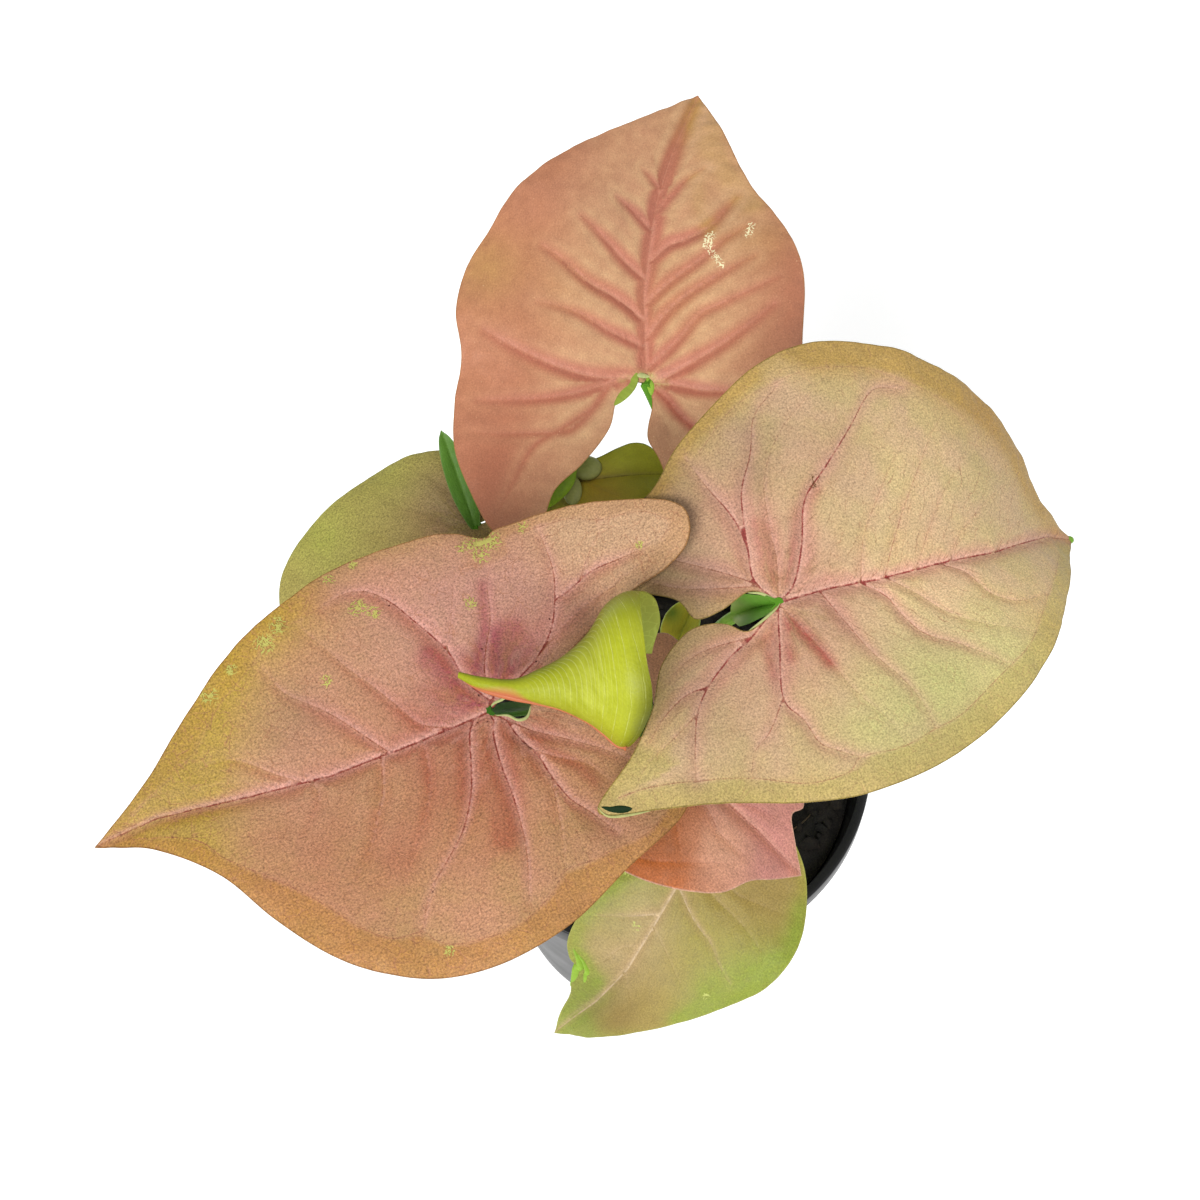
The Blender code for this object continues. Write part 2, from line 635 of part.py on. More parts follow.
def make_rolled_leaf():
    points, tris = roll_sheet(ROLL_ROWS, ROLL_STEPS)
    keel = np.zeros(len(points))
    verts, faces = thicken(points, tris, np.array([0.0, 0.0, 1.0]), BLADE, keel)
    blade = make_object("leaf_rolled", verts * MM, faces)
    joint = roll_point(*ROLL_JOINT)
    leaf = dict(joint=joint, lean=ROLL_LEAN, reach=ROLL_REACH, foot=ROLL_FOOT, foot_r=ROLL_FOOT_R)
    apply_boolean(blade, [stalk_for("rolled_stalk", leaf, STALK_TOP_R)], "UNION")
    return blade


def make_blade(name, leaf):
    points, tris, rib = blade_sheet(leaf, leaf.get("spacing", SPACING))
    up = leaf_frame(leaf) @ np.array([0.0, 0.0, 1.0])
    verts, faces = thicken(points, tris, up, BLADE, rib * KEEL)
    return make_object(name, verts * MM, faces)


def make_leaf(name):
    leaf = LEAVES[name]
    blade = make_blade(name, leaf)
    extras = [stalk_for(name + "_stalk", leaf, STALK_TOP_R)]
    if name == "leaf_nw":
        extras.append(make_blade("spear", SPEAR))
    apply_boolean(blade, extras, "UNION")
    return blade


def main():
    clear_scene()
    feet = []
    made = [make_pot()]
    for name in LEAVES:
        made.append(make_leaf(name))
        feet.append((*LEAVES[name]["foot"], LEAVES[name]["foot_r"]))
    made.append(make_rolled_leaf())
    feet.append((*ROLL_FOOT, ROLL_FOOT_R))
    made.append(make_soil(feet))
    for item in made:
        paint(item)


main()
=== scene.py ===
"""Potted neon robusta syngonium: fine leaves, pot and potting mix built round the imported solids.

Sizes are millimetres in the tables and metres in the scene.
World frame: +Z up, origin at the centre of the pot's flat base, +X to the right,
+Y away from the viewer.
"""

import json
import math

import bmesh
import bpy
import numpy as np
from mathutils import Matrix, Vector, noise
from mathutils.geometry import delaunay_2d_cdt
from mathutils.kdtree import KDTree

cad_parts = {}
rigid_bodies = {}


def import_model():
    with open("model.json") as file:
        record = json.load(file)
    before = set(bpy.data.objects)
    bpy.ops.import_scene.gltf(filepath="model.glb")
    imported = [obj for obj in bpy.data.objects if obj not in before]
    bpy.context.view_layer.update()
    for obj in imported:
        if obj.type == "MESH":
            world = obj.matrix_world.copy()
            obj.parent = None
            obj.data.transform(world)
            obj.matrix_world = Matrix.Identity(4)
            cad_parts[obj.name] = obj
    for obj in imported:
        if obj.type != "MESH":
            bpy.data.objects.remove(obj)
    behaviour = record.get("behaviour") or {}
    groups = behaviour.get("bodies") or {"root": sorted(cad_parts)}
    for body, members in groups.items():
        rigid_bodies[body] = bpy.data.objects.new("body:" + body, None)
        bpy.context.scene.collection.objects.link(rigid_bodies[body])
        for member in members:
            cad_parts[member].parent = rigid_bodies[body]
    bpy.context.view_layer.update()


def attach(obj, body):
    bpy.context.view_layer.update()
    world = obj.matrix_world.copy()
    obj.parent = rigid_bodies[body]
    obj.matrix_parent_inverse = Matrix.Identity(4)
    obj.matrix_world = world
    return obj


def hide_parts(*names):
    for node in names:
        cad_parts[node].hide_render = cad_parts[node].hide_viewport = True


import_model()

MM = 0.001

# Camera, in the photograph's frame.
CAMERA_AT = (-16.1, -224.06, 577.08)
CAMERA_TILT = 30.0
SENSOR = 36.0
LENS = 55.47

# Pot.
POT_BASE_R = 42.0
POT_HEIGHT = 106.0
POT_WALL = 1.2
POT_FLOOR = 1.6
LIP_OUT_R = 60.0
LIP_DROP = 7.0
LIP_STEP = 1.6
LIP_ROUND = 0.6
BASE_ROUND = 0.8
POT_SEGMENTS = 192
DRAIN_HOLES = 8
DRAIN_R = 4.0
DRAIN_RING_R = 29.0
DRAIN_SIDES = 32

# Potting mix.
SOIL_TOP = 97.0
SOIL_EDGE = 95.0
SOIL_BUMP = 0.84
SOIL_RINGS = 60
SOIL_SEGMENTS = 220
SOIL_SKIRT = 12.0
SOIL_INSET = 1.6
SOIL_ROUGH = 0.9
HOLE_DEPTH = 20.0
FIBRE_AREA_R = 50
FIBRE_LIMIT_R = 53
FIBRE_STEPS = 12
FIBRE_SIDES = 6

# Leaves.
SPACING = 0.75
ROW_STEP = 0.87
CLEAR_OF_EDGE = 0.62
CLEAR_OF_VEIN = 0.55
VEIN_CLEAR_OF_EDGE = 0.9
VEIN_SNAP = 3.0
MAIN_VEIN = 0.55
VEIN_FADE = 0.65
SEAM_FADE = 0.2
VEIN_RIDGE = 0.3
BLADE = 0.46
BLADE_EDGE = 0.26
KEEL = 1.45
KEEL_WIDTH = 1.1
STALK_SIDES = 28
STALK_RINGS = 90
STALK_TOP_R = 1.25
STALK_UPRIGHT = 2.0
STALK_RISE = 0.4
STALK_THROUGH = 0.2
STALK_TAPER = 0.8
WING_ANGLE = 0.62
WING_SPREAD = 0.2
WING_REACH = 0.75
GROOVE_SPREAD = 0.38
CURL_POWER = 1.5
LIP_RINGS = 26
LIP_SIDES = 14
SHEEN = 0.18
STALK_SHEEN = 0.04
POT_SHEEN = 0.2
BAND_REACH = 11.0
# Painted shade and highlights on the vein slopes: how far they reach, and the direction of the light
# they imitate, in degrees.
SLOPE_LIGHT_WIDTH = 2.2
LIGHT_ANGLE = -113.0
FLOOR_GLOW = 0.3
BACKDROP_GLOW = 0.48
FLOOR_SIZE = 6.0
FLOOR_DROP = 0.0004
LEFT = 1
RIGHT = -1
HALVES = {"L": LEFT, "R": RIGHT}
ZONES = ("pink", "olive", "accent", "deep", "wash")
# Colours of the folded margins; dark is a near-black painted shadow.
LIP_TINTS = {
    "green": (0.200, 0.260, 0.035, 1), "lime": (0.200, 0.330, 0.030, 1),
    "pale": (0.330, 0.330, 0.120, 1), "dark": (0.004, 0.020, 0.003, 1),
    "hub": (0.370, 0.400, 0.160, 1)}
SHEATH_TINT = (0.190, 0.290, 0.015, 1)
CAP_TINT = (0.215, 0.215, 0.072, 1)
NUB_TINT = (0.150, 0.300, 0.030, 1)
FLECK_BROWN = (0.15, 0.09, 0.02)
SPECK_TINT = (0.055, 0.010, 0.008)


def read_word(word):
    """A half of the leaf, a point, a name or a number, from one word of a table."""
    if word in HALVES:
        return HALVES[word]
    if "," in word:
        return tuple(float(n) for n in word.split(","))
    return word if word.isalpha() else float(word)


def table(text):
    """Rows of values: each row of the text ends with a semicolon."""
    return [[read_word(word) for word in row.split()] for row in text.split(";") if row.strip()]


# What a leaf has where its own table says nothing.
PLAIN_LEAF = dict(roll=0, lobe_drop=(0, 0), spacing=SPACING, notch=0.0, flare=1.3, stalk_shade=0.0,
                  bow="0,0 1,0", veins="", seams="", blots="", strokes="", flecks="", lips="")


def leaf_of(**given):
    """One leaf: the plain one with its own values, and with its tables of text read."""
    made = {**PLAIN_LEAF, **given}
    for key in ("bow", "left", "right"):
        made[key] = table(made[key])[0]
    for key in ("veins", "seams", "blots", "strokes", "flecks", "lips"):
        made[key] = table(made[key])
    return made


# Each leaf is given flat first and then bent into place.
# In a leaf's flat frame the stalk joins at the origin and x runs to the leaf tip.
# A point is x,w: w is the distance from the midrib, on the left or right half (L or R).
# The outlines left and right run from the notch to the tip.
# Angles are degrees: fold lifts a half from the midrib, curl bends it down again,
# lobe_drop bends the part behind the stalk down, and bow gives the midrib's sideways shift.
# The other tables have one row for each mark:
# veins and seams: half, strength, route;  blots: zone, half, place, radius, strength;
# strokes: zone, half, width, strength, route;  flecks: half, place, radius, stretch;
# lips, where the margin folds over (a lip with the dark tint is a painted shadow): half, tint, half
# width, half height, lift, route.
# Blots of the zone light are painted light and shade: they make the colour brighter by their strength,
# or darker where it is below 0.
LEAVES = {
    "leaf_west": leaf_of(
        joint=(-37.3, -47.8, 226), heading=200.4, pitch=4, droop=16, roll=-8, fold=(8, 8),
        curl=(17, 16), lobe_drop=(10, -32), wave=1, waves=5, foot=(-6, -4), foot_r=2.4,
        lean=(-0.35, -0.55), reach=45, flare=0.9, stalk_shade=0.75, notch=2.6,
        bow="0,0 20,2 38,3 55,1.5 75,-1 89,0",
        left="""-1,2.2 -2.6,3.9 -4.8,3.7 -6.4,1.4 -9,-0.7 -13,-0.3 -17,4 -20,9 -26,15 -33,25
            -29,34 -13,42 1,49 15,52.2 29,51 40,46.2 48.5,39.4 57,28.6 65,16 76,6 84,2.2 89,0""",
        right="""-1,1.5 -4,2.4 -8,1.8 -13,4 -20,7.8 -28,11.8 -37,14.6 -45,16 -52,20 -53,27 -45,33
            -28,38.5 -13,39.7 -9,38.2 -3,41 4,42 22,42 37,36.4 50,30 63,19.5 74,9.6 84,3 89,0""",
        veins="""
            R 1 0,0 5,8 7,16 12,25 15,30 19,34 24,35 29,33;
            R 0.5 11,0 17,3 21,9 25,15 28,19 31,24 35,30; R 0.6 25,0 29,5 33,10 37,14 42,18 45,24;
            R 0.45 44,0 49,3 53,6 57,8 62,8; R 0.75 0,0 1,7 -1,13 -4,19 -6,27 -8,31;
            R 1 0,0 -6,5 -11,8 -16,13 -19,19 -21,26 -21,35;
            R 0.9 -19,19 -23,20 -29,22 -35,22 -41,22; R 0.5 -26,21.5 -30,26 -33,29 -34,33;
            R 0.4 -11,8 -22,14 -33,17 -44,20; R 0.35 7,16 4,22 2,27 0,32;
            L 0.85 6,0 8,3 10,10 12,16 16,23 21,28 26,33 30,40; L 0.9 0,0 3,4 4,12 4,21 5,31 8,42;
            L 1 0,0 -1,6 -4,13 -5,18 -7,24 -10,28 -14,34; L 0.5 -5,18 -4,24 -3,30 -1,38;
            L 0.6 -1,4 -6,8 -12,12 -19,17 -25,23; L 0.5 -2,8 -3,11 -8,15 -13,18 -16,23;
            L 0.55 27,0 29,8 32,14 36,21 42,28; L 0.35 42,0 42,5 46,11 50,15;
            L 0.35 18,0 19,9 23,18 29,27 35,37""",
        seams="""
            R 0.35 -15,37 -24,36 -29,35 -35,32 -44,30 -49,25 -46,22;
            R 0.3 80,3 70,7.5 64,11 60,15 55,20 49,24 40,30.5 34,32;
            L 0.45 80,2 68,7 63,13 54,21 49,26 45,31 41,36 36,40 30,40.5 28,43 25,45 20,46 11,46
                3,42 -1,38.5 -7,38 -13,37 -20,36 -25,33""",
        # Painted light and shade: the light blots brighten or darken, and deep R -22,12 with light R
        # -24,13 paints the shadow beside the rolled leaf.
        blots="""
            pink R 6,20 20 0.9; pink R -12,22 14 0.7; pink R -32,26 12 0.3; pink R 50,6 14 0.35;
            deep L 9,12 13 0.4; deep L 1,9 7 0.45; deep R 12,4 7 0.4; deep L 44,14 18 0.5;
            olive R 78,4 16 1.6; olive R 64,14 11 1; olive R 52,26 9 0.9; olive R 38,34 8 0.7;
            olive L 80,3 12 1; olive L 66,12 6 0.3; light R 70,6 14 -0.14; light L -8,16 8 0.1;
            deep L -14,20 9 0.35; light R 42,13 8 -0.18; light R -15,20 6 -0.12;
            light R -24,13 6 -0.42; deep R -22,12 8 1; light R 5,9 5 -0.12; deep R 17,6 8 0.45;
            deep L 17,5 8 0.6; light R -5,13 5 -0.14; deep R 28,8 10 0.45; deep L 11,24 10 0.35;
            accent R 12,5 6 0.35; wash R -44,25 13 1; wash R -28,32 10 0.8; light R -36,28 16 -0.04;
            accent R -2,9 6 0.9; accent R 8,7 5 0.7; accent R -10,14 6 0.5""",
        # The deep strokes beside the veins are partly the leaf's darker red and partly painted shade on
        # one slope of a vein.
        strokes="""
            accent R 2.8 1.3 3,3 5,6 7.5,11 11,15.5; accent R 2.8 1.2 -1,9 -3,13 -7,15;
            deep R 2.4 0.6 -1,13 -4,19 -6,27; accent R 1.6 0.6 -2,14 -3,20 -5,27;
            deep R 2.2 1.1 4,2.5 9,5 15,8; deep L 1.5 0.7 8,2 12,5 14,9; deep L 2 0.8 0,5 2,8 3,14;
            deep L 3 0.9 4,12 6,20 8,28; deep L 6 0.45 16,12 24,18 30,24;
            deep L 1.6 0.6 -4,9 -9,15 -13,22""",
        flecks="""
            R -10,37 2.1 3,0; R -7,34 1.6; R -3.5,37 1.2; R 22,31 1.7; R 19,29 1.2; R 39,32 1.6;
            R 43,29 1.8; R 51,26 1; R 57,22 1.5; R 33,18 1; R 26,39 1.1; R 20,41 0.8; R -1,24 1.2;
            R -41,23 0.8; L 26,46 0.9; R -18,38 1.2""",
        lips="""
            L hub 0.4 0.3 0.05 2.7,0.1 1.2,1.5 -1,2.4 -2.6,4 -4.8,3.8 -6.4,1.5;
            R hub 0.32 0.3 0.05 2.7,0.1 1.2,1.3 -1,1.6 -4,2.5"""),
    "leaf_east": leaf_of(
        joint=(22.7, -23.3, 228), heading=23.1, pitch=-2, droop=44, roll=10, fold=(14, 10),
        curl=(10, 19), lobe_drop=(30, -12), wave=0.8, waves=4, foot=(8, 2), foot_r=2.4,
        lean=(0.4, -0.5), reach=45, flare=4.6,
        bow="0,0 12,-0.5 25,-2 60,-2 85,0.8 96.7,0",
        left="""-1,1.5 -5,4.5 -12,3 -18,3.5 -20,9 -27,15 -31,23 -27,30 -16,33 -7,40.5 4,47 16,52.5
            30,55 45,52 60,44.9 74,35.5 82,24 84.5,11.5 91,4 96.7,0""",
        right="""-1,1 -9,4 -13,0.5 -19,-1 -24,0.5 -31,5.5 -37,14 -46,22.5 -57,30 -55,33 -43,35.3
            -29,38.5 -14,43.5 0,46.6 17,46 35,41.2 53,32.3 70,20.6 87,7 96.7,0""",
        veins="""
            L 1 0,0 5,3 10,11 14,20 21,26 31,34 40,41 48,40;
            L 0.9 0,0 -3,6 -2,13 1,25 6,33 10,41 17,46; L 0.8 -2,13 -2,18 -3,23 -5,29 -7,37;
            L 0.6 -3,5.5 -7,9 -12,13 -18,18 -24,24; L 0.6 -3,5 -12,8 -20,12 -26,18;
            L 0.5 0,0 3,9 4,16 7,27 14,36 24,43 29,46; L 0.4 20,0 24,9 29,15 38,24 48,32;
            L 0.5 26,0 33,9 42,19 51,28 57,33; L 0.35 35,0 42,8 49,15 60,23;
            L 0.35 45,0 50,5 59,10 70,14; L 0.3 60,0 68,4 78,6;
            R 0.9 0,0 -4,9 -9,21 -7,27 -6,33 -3,36 1,39; R 0.6 -9,21 -15,27 -20,30 -23,35;
            R 1 0,0 -9,5.5 -15,8 -23,13 -28,18 -32,25 -35,32; R 0.7 -23,13 -29,13.5 -36,17 -41,21;
            R 0.6 -9,5.5 -19,5 -26,6.5 -30,9; R 0.5 -28,18 -34,21 -43,25 -47,28;
            R 0.4 0,0 2,8 4,16 6,25 10,34 11,39; R 0.6 10,0 12,11 14,19 17,25 19,32 19,38;
            R 0.7 20,0 24,5 25,11 28,17 35,22 43,29; R 0.45 26,0 31,6 35,12 42,18 54,23;
            R 0.55 41,0 47,4 50,11 57,15 67,15""",
        seams="""
            L 0.35 -4,37 6,44 17,47 26,48.5 34,48 42,46 49,42 58,36 66,28;
            R 0.45 -53,30 -45,30 -34,32 -23,35 -12,40 -3,41 1,39 10,40 19,38.5 27,37 39,32 51,27
                61,20 72,12.5 84,5""",
        # Painted light and shade: the light blots darken the left lobe beside the west leaf and
        # brighten the right half, and deep L -22,22 and deep L -10,16 deepen that lobe's painted shade.
        blots="""
            pink L 2,4 15 1.1; pink R 0,8 14 1.1; pink L -4,22 14 0.6; pink R -20,12 14 0.6;
            pink L 40,2 12 0.3; pink L 22,28 10 0.25; olive R 60,24 10 0.5; olive R 30,42 10 0.5;
            olive L 90,4 9 0.8; olive L 70,38 12 0.4; light L -18,31 12 -0.5; light L 10,36 8 -0.18;
            light L 5,28 5 -0.18; light L 26,28 9 -0.1; light R 25,5 11 0.24; light R -6,4 4 0.2;
            wash R 24,30 15 0.9; wash R 46,26 12 0.7; wash R 6,34 9 0.5; light L -16,9 8 -0.3;
            light R 60,18 18 0.32; light R 40,9 12 0.26; light L 42,19 18 0.18;
            light R 10,22 12 0.08; light R -28,15 10 -0.14; light L 1,40 9 -0.14;
            light R -45,27 9 0.14; light R 38,32 10 0.14; deep L -22,22 13 0.5; deep L -10,16 10 0.2""",
        strokes="""
            accent R 1.9 1.2 0,5 1,8 2,10.5; accent R 1.9 1 2.5,13 3.5,17;
            accent R 1.8 0.7 -3,5 -4,9 -3,13; accent R 1.4 0.6 -7,6.5 -8,11 -8,16;
            accent L 1.6 0.55 0,5 1,11 2,18; accent L 1.6 0.55 4,4 8,10 12,17 17,22;
            olive L 6 1.1 30,53 45,50 60,42 74,32 84,14; olive L 3 0.5 -16,33 -4,42 12,50""",
        flecks="L 17.2,23.2 0.8 0.8,1",
        # The dark lip is a painted shadow, laid in the dark hole at the lobe tip.
        lips="""
            L hub 0.32 0.3 0.05 0.4,0.1 -1,1.6 -3,3.3 -5.5,4.4;
            R hub 0.32 0.3 0.05 0.4,0.1 -1,1.1 -5,2.7 -9,3.9;
            R dark 0.85 0.3 0.35 -56.6,30.6 -55,31.6 -52,32.6 -49.6,33.2;
            R pale 0.3 0.4 0.35 -57.4,30.4 -56,32.8 -52,33.9 -47,34.6"""),
    "leaf_north": leaf_of(
        joint=(-4.6, 53.5, 205), heading=80.9, pitch=22, droop=30, roll=-2, fold=(16, 12),
        curl=(22, 22), lobe_drop=(-13, -12), wave=1.2, waves=5, foot=(6, 14), foot_r=2.3,
        lean=(-0.65, 0.5), reach=45,
        bow="0,0 12,2 23,4 50,5 66,3.5 80,1.5 90,0",
        left="""-0.5,2.5 -6,6.5 -14,7.5 -24,12.5 -32,18 -41,20 -48,26 -45,32 -37,38 -26,44
            -13,46.5 0,46.8 10,49.7 22,49.5 34,45 46,39.8 60,29.2 73,15 83,5.6 90,0""",
        right="""-1,1 -6,2.5 -14,2.5 -20,6.5 -30,12 -38,20 -37,30 -25,37 -5,39.5 15,37.4 32,35.4
            44,29.2 58,17.8 76,8.2 90,0""",
        veins="""
            L 0.8 16,0 20,7 23,16 27,23 30,30; L 0.7 27,0 31,7 36,14 40,21; L 0.6 41,0 45,6 48,12;
            L 0.4 54,0 59,8; L 0.6 9,0 11,9 14,18 15,29; L 0.8 0,0 0,5 -1,14 0,23 3,34 6,42;
            L 0.6 0,5 -2,9 -7,19 -10,29 -12,41; L 0.4 -2,9 -9,12 -14,15 -17,19 -20,32 -21,41;
            L 0.35 -9,12 -16,19 -22,25 -31,28 -41,31; R 0.8 32,0 37,4 39,8 43,13 52,17;
            R 0.7 20,0 27,6 33,12 37,15 44,22; R 0.7 11,0 18,5 24,11 30,18 35,24;
            R 0.6 3,0 11,8 18,13 22,19 30,30; R 0.8 0,0 1,4 6,12 12,20 18,26 23,30;
            R 0.7 0,0 0,5 -1,14 -1,21 -2,33; R 0.5 0,0 -3,5 -8,10 -12,15 -20,23 -27,28;
            R 0.5 46,0 52,3 57,5 61,8""",
        # Painted light and shade: the light blots brighten or darken, deep R -12,6, deep R -20,12 and
        # light R -13,7 paint the shade on the right lobe, and deep L -32,28 paints the shade on the
        # lower left lobe.
        blots="""
            pink L 12,2 18 0.6; pink L 45,2 16 0.5; deep L -32,28 18 1; deep L -8,26 14 0.4;
            deep R 22,34 10 0.6; deep R -18,16 14 0.6; deep L 70,10 14 0.3; olive R 80,4 9 0.6;
            olive R 40,22 8 0.5; olive L 20,20 12 0.3; olive R 20,8 10 0.3; accent L 0,1 1.8 0.7;
            accent R 0,1.5 1.8 0.7; deep R -12,6 8 1.6; deep R -20,12 9 1.3; light L 45,12 12 -0.08;
            light R 46,16 9 -0.1; light R -13,7 8 -0.36; light R 34,28 9 -0.1;
            light L -12,12 9 -0.12; deep R 34,30 8 0.5; olive L 22,44 9 0.6""",
        strokes="""
            olive R 3.2 1.2 86,1.5 75,5 66,9 58,14 50,20; olive R 2 0.8 58,7 48,10 41,13;
            accent L 1 0.7 1.5,0 0.5,3 -0.5,6; accent R 1 0.7 1.5,0 0.5,3 0,5""",
        # The flecks are pale scars that also carry a painted highlight of white-yellow glare.
        flecks="R 37.4,13 0.9 2.6,0.3; R 31.5,17 0.55 4.6,-3.2; R 40.5,21.6 0.6 3.2,0.2",
        lips="""
            L green 1.5 0.4 0.15 2.4,2.6 -1,3.4 -4.5,5.2 -7.5,7;
            L hub 0.8 0.35 0.15 1.4,-1 1.4,1 1.2,3.2; R lime 0.9 0.35 0.1 1.2,0.2 -0.8,1.3 -3.4,1.9"""),
    "leaf_south": leaf_of(
        joint=(8.1, -53, 160), heading=229.6, pitch=-18, droop=50, roll=-14, fold=(6, 6), curl=(12, 12),
        wave=0.9, waves=4, foot=(7, -9), foot_r=2.2, lean=(0.1, -0.9), reach=30,
        bow="0,0 11,1 22,2.5 35,4 48,3 58,1 66,0",
        left="""-1,1 -8,5 -16,12 -13,21 -5,28.5 5,32.8 17,32.3 30,25.8 43,17.6 56,9.2 62,3.8
            66.5,0""",
        right="""-1,1 -7,4 -12,8 -10,12 0,12 12,11 23,13.5 31,13.5 38,12 42,9 43,6 47,5 51,3.2
            58,2.2 66.5,0""",
        veins="""
            R 0.7 18,0 23,5 29,11; R 0.5 28,0 31,3 36,4 39,5; R 0.4 0,0 -3,6 -6,10;
            L 0.7 10,0 14,8 16,15 19,20 21,25; L 0.5 5,0 7,11 8,19 10,26; L 0.4 0,0 3,12 2,18 0,25;
            L 0.4 22,0 25,7 28,13 30,19; L 0.3 36,0 40,6 43,11; L 0.4 0,0 -6,8 -10,16""",
        blots="""
            accent R 8,10 11 0.7; accent R 24,12 7 0.5; accent R 45,4 5 1.2; accent R 58,2 8 1.2;
            accent L 26,25 9 1.1; accent L 14,29 10 0.8; accent L 60,4 6 1; deep L 4,20 13 0.6;
            deep L 12,6 9 0.4; deep L 44,8 9 0.5; wash L 39,15 8 1; olive L 16,12 10 0.7;
            pink L 20,2 8 0.5; pink R 34,3 9 0.6; pink R 18,6 8 0.6; light L 48,6 13 -0.2;
            light R 50,2 10 -0.12""",
        strokes="""
            accent L 3.2 0.8 -4,28 6,31.5 17,31 30,25 36,21; deep L 4 0.5 38,14 48,8 56,4;
            accent R 2 1 40,7.5 43,4.6 47,3; accent R 2.4 0.7 12,10.5 23,13 34,12 40,9""",
        flecks="R 24,3 0.8; L 27,22 0.7; R 15,11 0.8",
        lips="""
            R lime 1.2 0.5 0.2 39,10 41,7.2 44,5.6 49,4.2;
            R lime 0.9 0.4 0.1 39.4,9 40.6,6.2 43.5,3.8 48,2.6"""),
    "leaf_blush": leaf_of(
        joint=(-2.2, -45.8, 200), heading=-36.4, pitch=-5, droop=35, fold=(8, 8), curl=(15, 15),
        wave=0.8, waves=3, foot=(0, -9), foot_r=2.2, lean=(0.1, -0.6), reach=40,
        left="""-1,1 -7,7 -13,13 -18.5,19 -16,24.5 -8,23.5 -1,21 12,20 25,17 32.5,12 31.8,8
            37.5,3.6 43,0""",
        right="-1,1 -9,6 -17,11 -20,18 -12,25 0,28.5 10,28 21,23.5 29,17.5 33,10.5 38,5.5 43,0",
        veins="""
            R 0.8 5,0 12,3 17,5 21,7 28,7; R 0.5 2,0 8,8 14,14 18,18; R 0.4 0,0 0,10 3,21;
            R 0.45 4,26 12,23 20,17 27,11; L 0.4 3,0 6,8 9,15; L 0.5 16,0 22,3 29,5;
            L 0.4 0,0 -3,9 -6,16""",
        blots="""
            deep R 12,24 11 1.8; light R 15,22 7 -0.12; pink L 24,8 13 1.2; pink R 36,4 8 0.9;
            deep R 13,11 6 1.3; wash R 23,9 7 0.9; light R 24,8 7 0.25"""),
    "leaf_nw": leaf_of(
        joint=(-47.9, 25.6, 182), heading=204.7, pitch=0, droop=30, fold=(8, 8), curl=(15, 15), wave=1,
        waves=4, foot=(-13, 4), foot_r=2.2, lean=(-0.6, 0.2), reach=40,
        left="-1,0.2 -4,0.4 -8,2.5 -16,9 -17,17 -9,22 2,24 15,25 28,22 40,16 50,7.5 56,0",
        right="""-1,0.3 -4,0.6 -8,3 -15,10 -15,17 -8,21 1,24.5 10,26.5 18,26 30,22.6 40,19.2
            50,12.6 56,0""",
        veins="""
            R 0.6 0,0 1,8 4,16 8,23; R 0.6 3,0 8,7 15,14 20,22; R 0.5 14,0 22,8 29,14;
            R 0.4 26,0 33,6 40,10; R 0.5 0,0 -5,7 -9,14; L 0.6 0,0 1,8 4,16; L 0.6 4,0 11,9 18,17;
            L 0.5 16,0 24,8 32,13; L 0.5 0,0 -5,7 -9,14""",
        blots="""
            accent R 36,16 11 0.8; accent R 14,22 10 0.5; accent L 40,6 12 0.5; pink R 4,4 11 0.8;
            wash R 0,6 9 1.2; wash R 8,14 8 0.4; pink L 4,4 10 0.7"""),
    "leaf_back": leaf_of(
        joint=(-23.2, 36.3, 185), heading=8.4, pitch=10, droop=25, fold=(15, 15), curl=(15, 15),
        wave=0.5, waves=3, foot=(-5, 11), foot_r=2, lean=(-0.2, 0.3), reach=35,
        left="-1,1 -4,2.5 -4,4 2,4.6 8,6 14,8.6 18,9 22,6.5 25,0",
        right="-1,1 -6,4 -8,9 -3,13 6,13 14,11 20,6.5 25,0",
        veins="L 0.4 4,0 9,3 15,6; R 0.4 3,0 8,5 13,8; R 0.4 0,0 0,5 2,10",
        blots="deep R 6,6 9 1; accent L 14,6 7 0.5"),
    "leaf_new": leaf_of(
        joint=(0.2, -14.9, 185), heading=61, pitch=32, droop=10, fold=(35, 35), curl=(10, 10), wave=0,
        waves=2, foot=(2, -3), foot_r=1.8, lean=(0, -0.2), reach=30, spacing=0.5,
        left="-1,0.8 3,3.6 8,5.6 13,4.8 18,0",
        right="-1,0.8 3,3.2 8,4.6 13,3.4 18,0",
        veins="L 0.3 2,0 6,2 10,3; R 0.3 2,0 6,2 10,3",
        blots="deep L 11,4.5 2.4 1; accent R 10,2 6 0.6"),
}
# A lobe edge of leaf_nw is rolled up like a spear beside its stalk.
SPEAR = leaf_of(
    joint=(-47.6, 25.2, 182), heading=114, pitch=42, droop=8, fold=(22, 22), curl=(30, 30), wave=0,
    waves=2, spacing=0.5,
    left="-1,0.8 3,2.2 10,3.2 17,3 23,1.8 26,0",
    right="-1,0.8 3,2.2 10,3.2 17,3 23,1.8 26,0",
    blots="accent L 12,1 20 1; accent R 12,1 20 1")
SPEAR_LEAF = "leaf_nw"

# The young leaf is still rolled: stations from its tip to its wide end,
# as (x, y, z) of the middle and the radius of the roll.
ROLL_STATIONS = [
    ((-45.3, -46.4, 238.2), 0.9), ((-40.7, -48.4, 238.4), 1.2), ((-33.8, -50.0, 239.0), 1.9),
    ((-28.5, -49.8, 239.5), 3.5), ((-23.7, -49.2, 240.0), 5.5), ((-18.6, -48.1, 240.2), 9.0),
    ((-15.3, -46.2, 240.2), 13.0), ((-11.7, -46.0, 240.0), 15.7), ((-8.5, -45.9, 240.0), 16.0)]
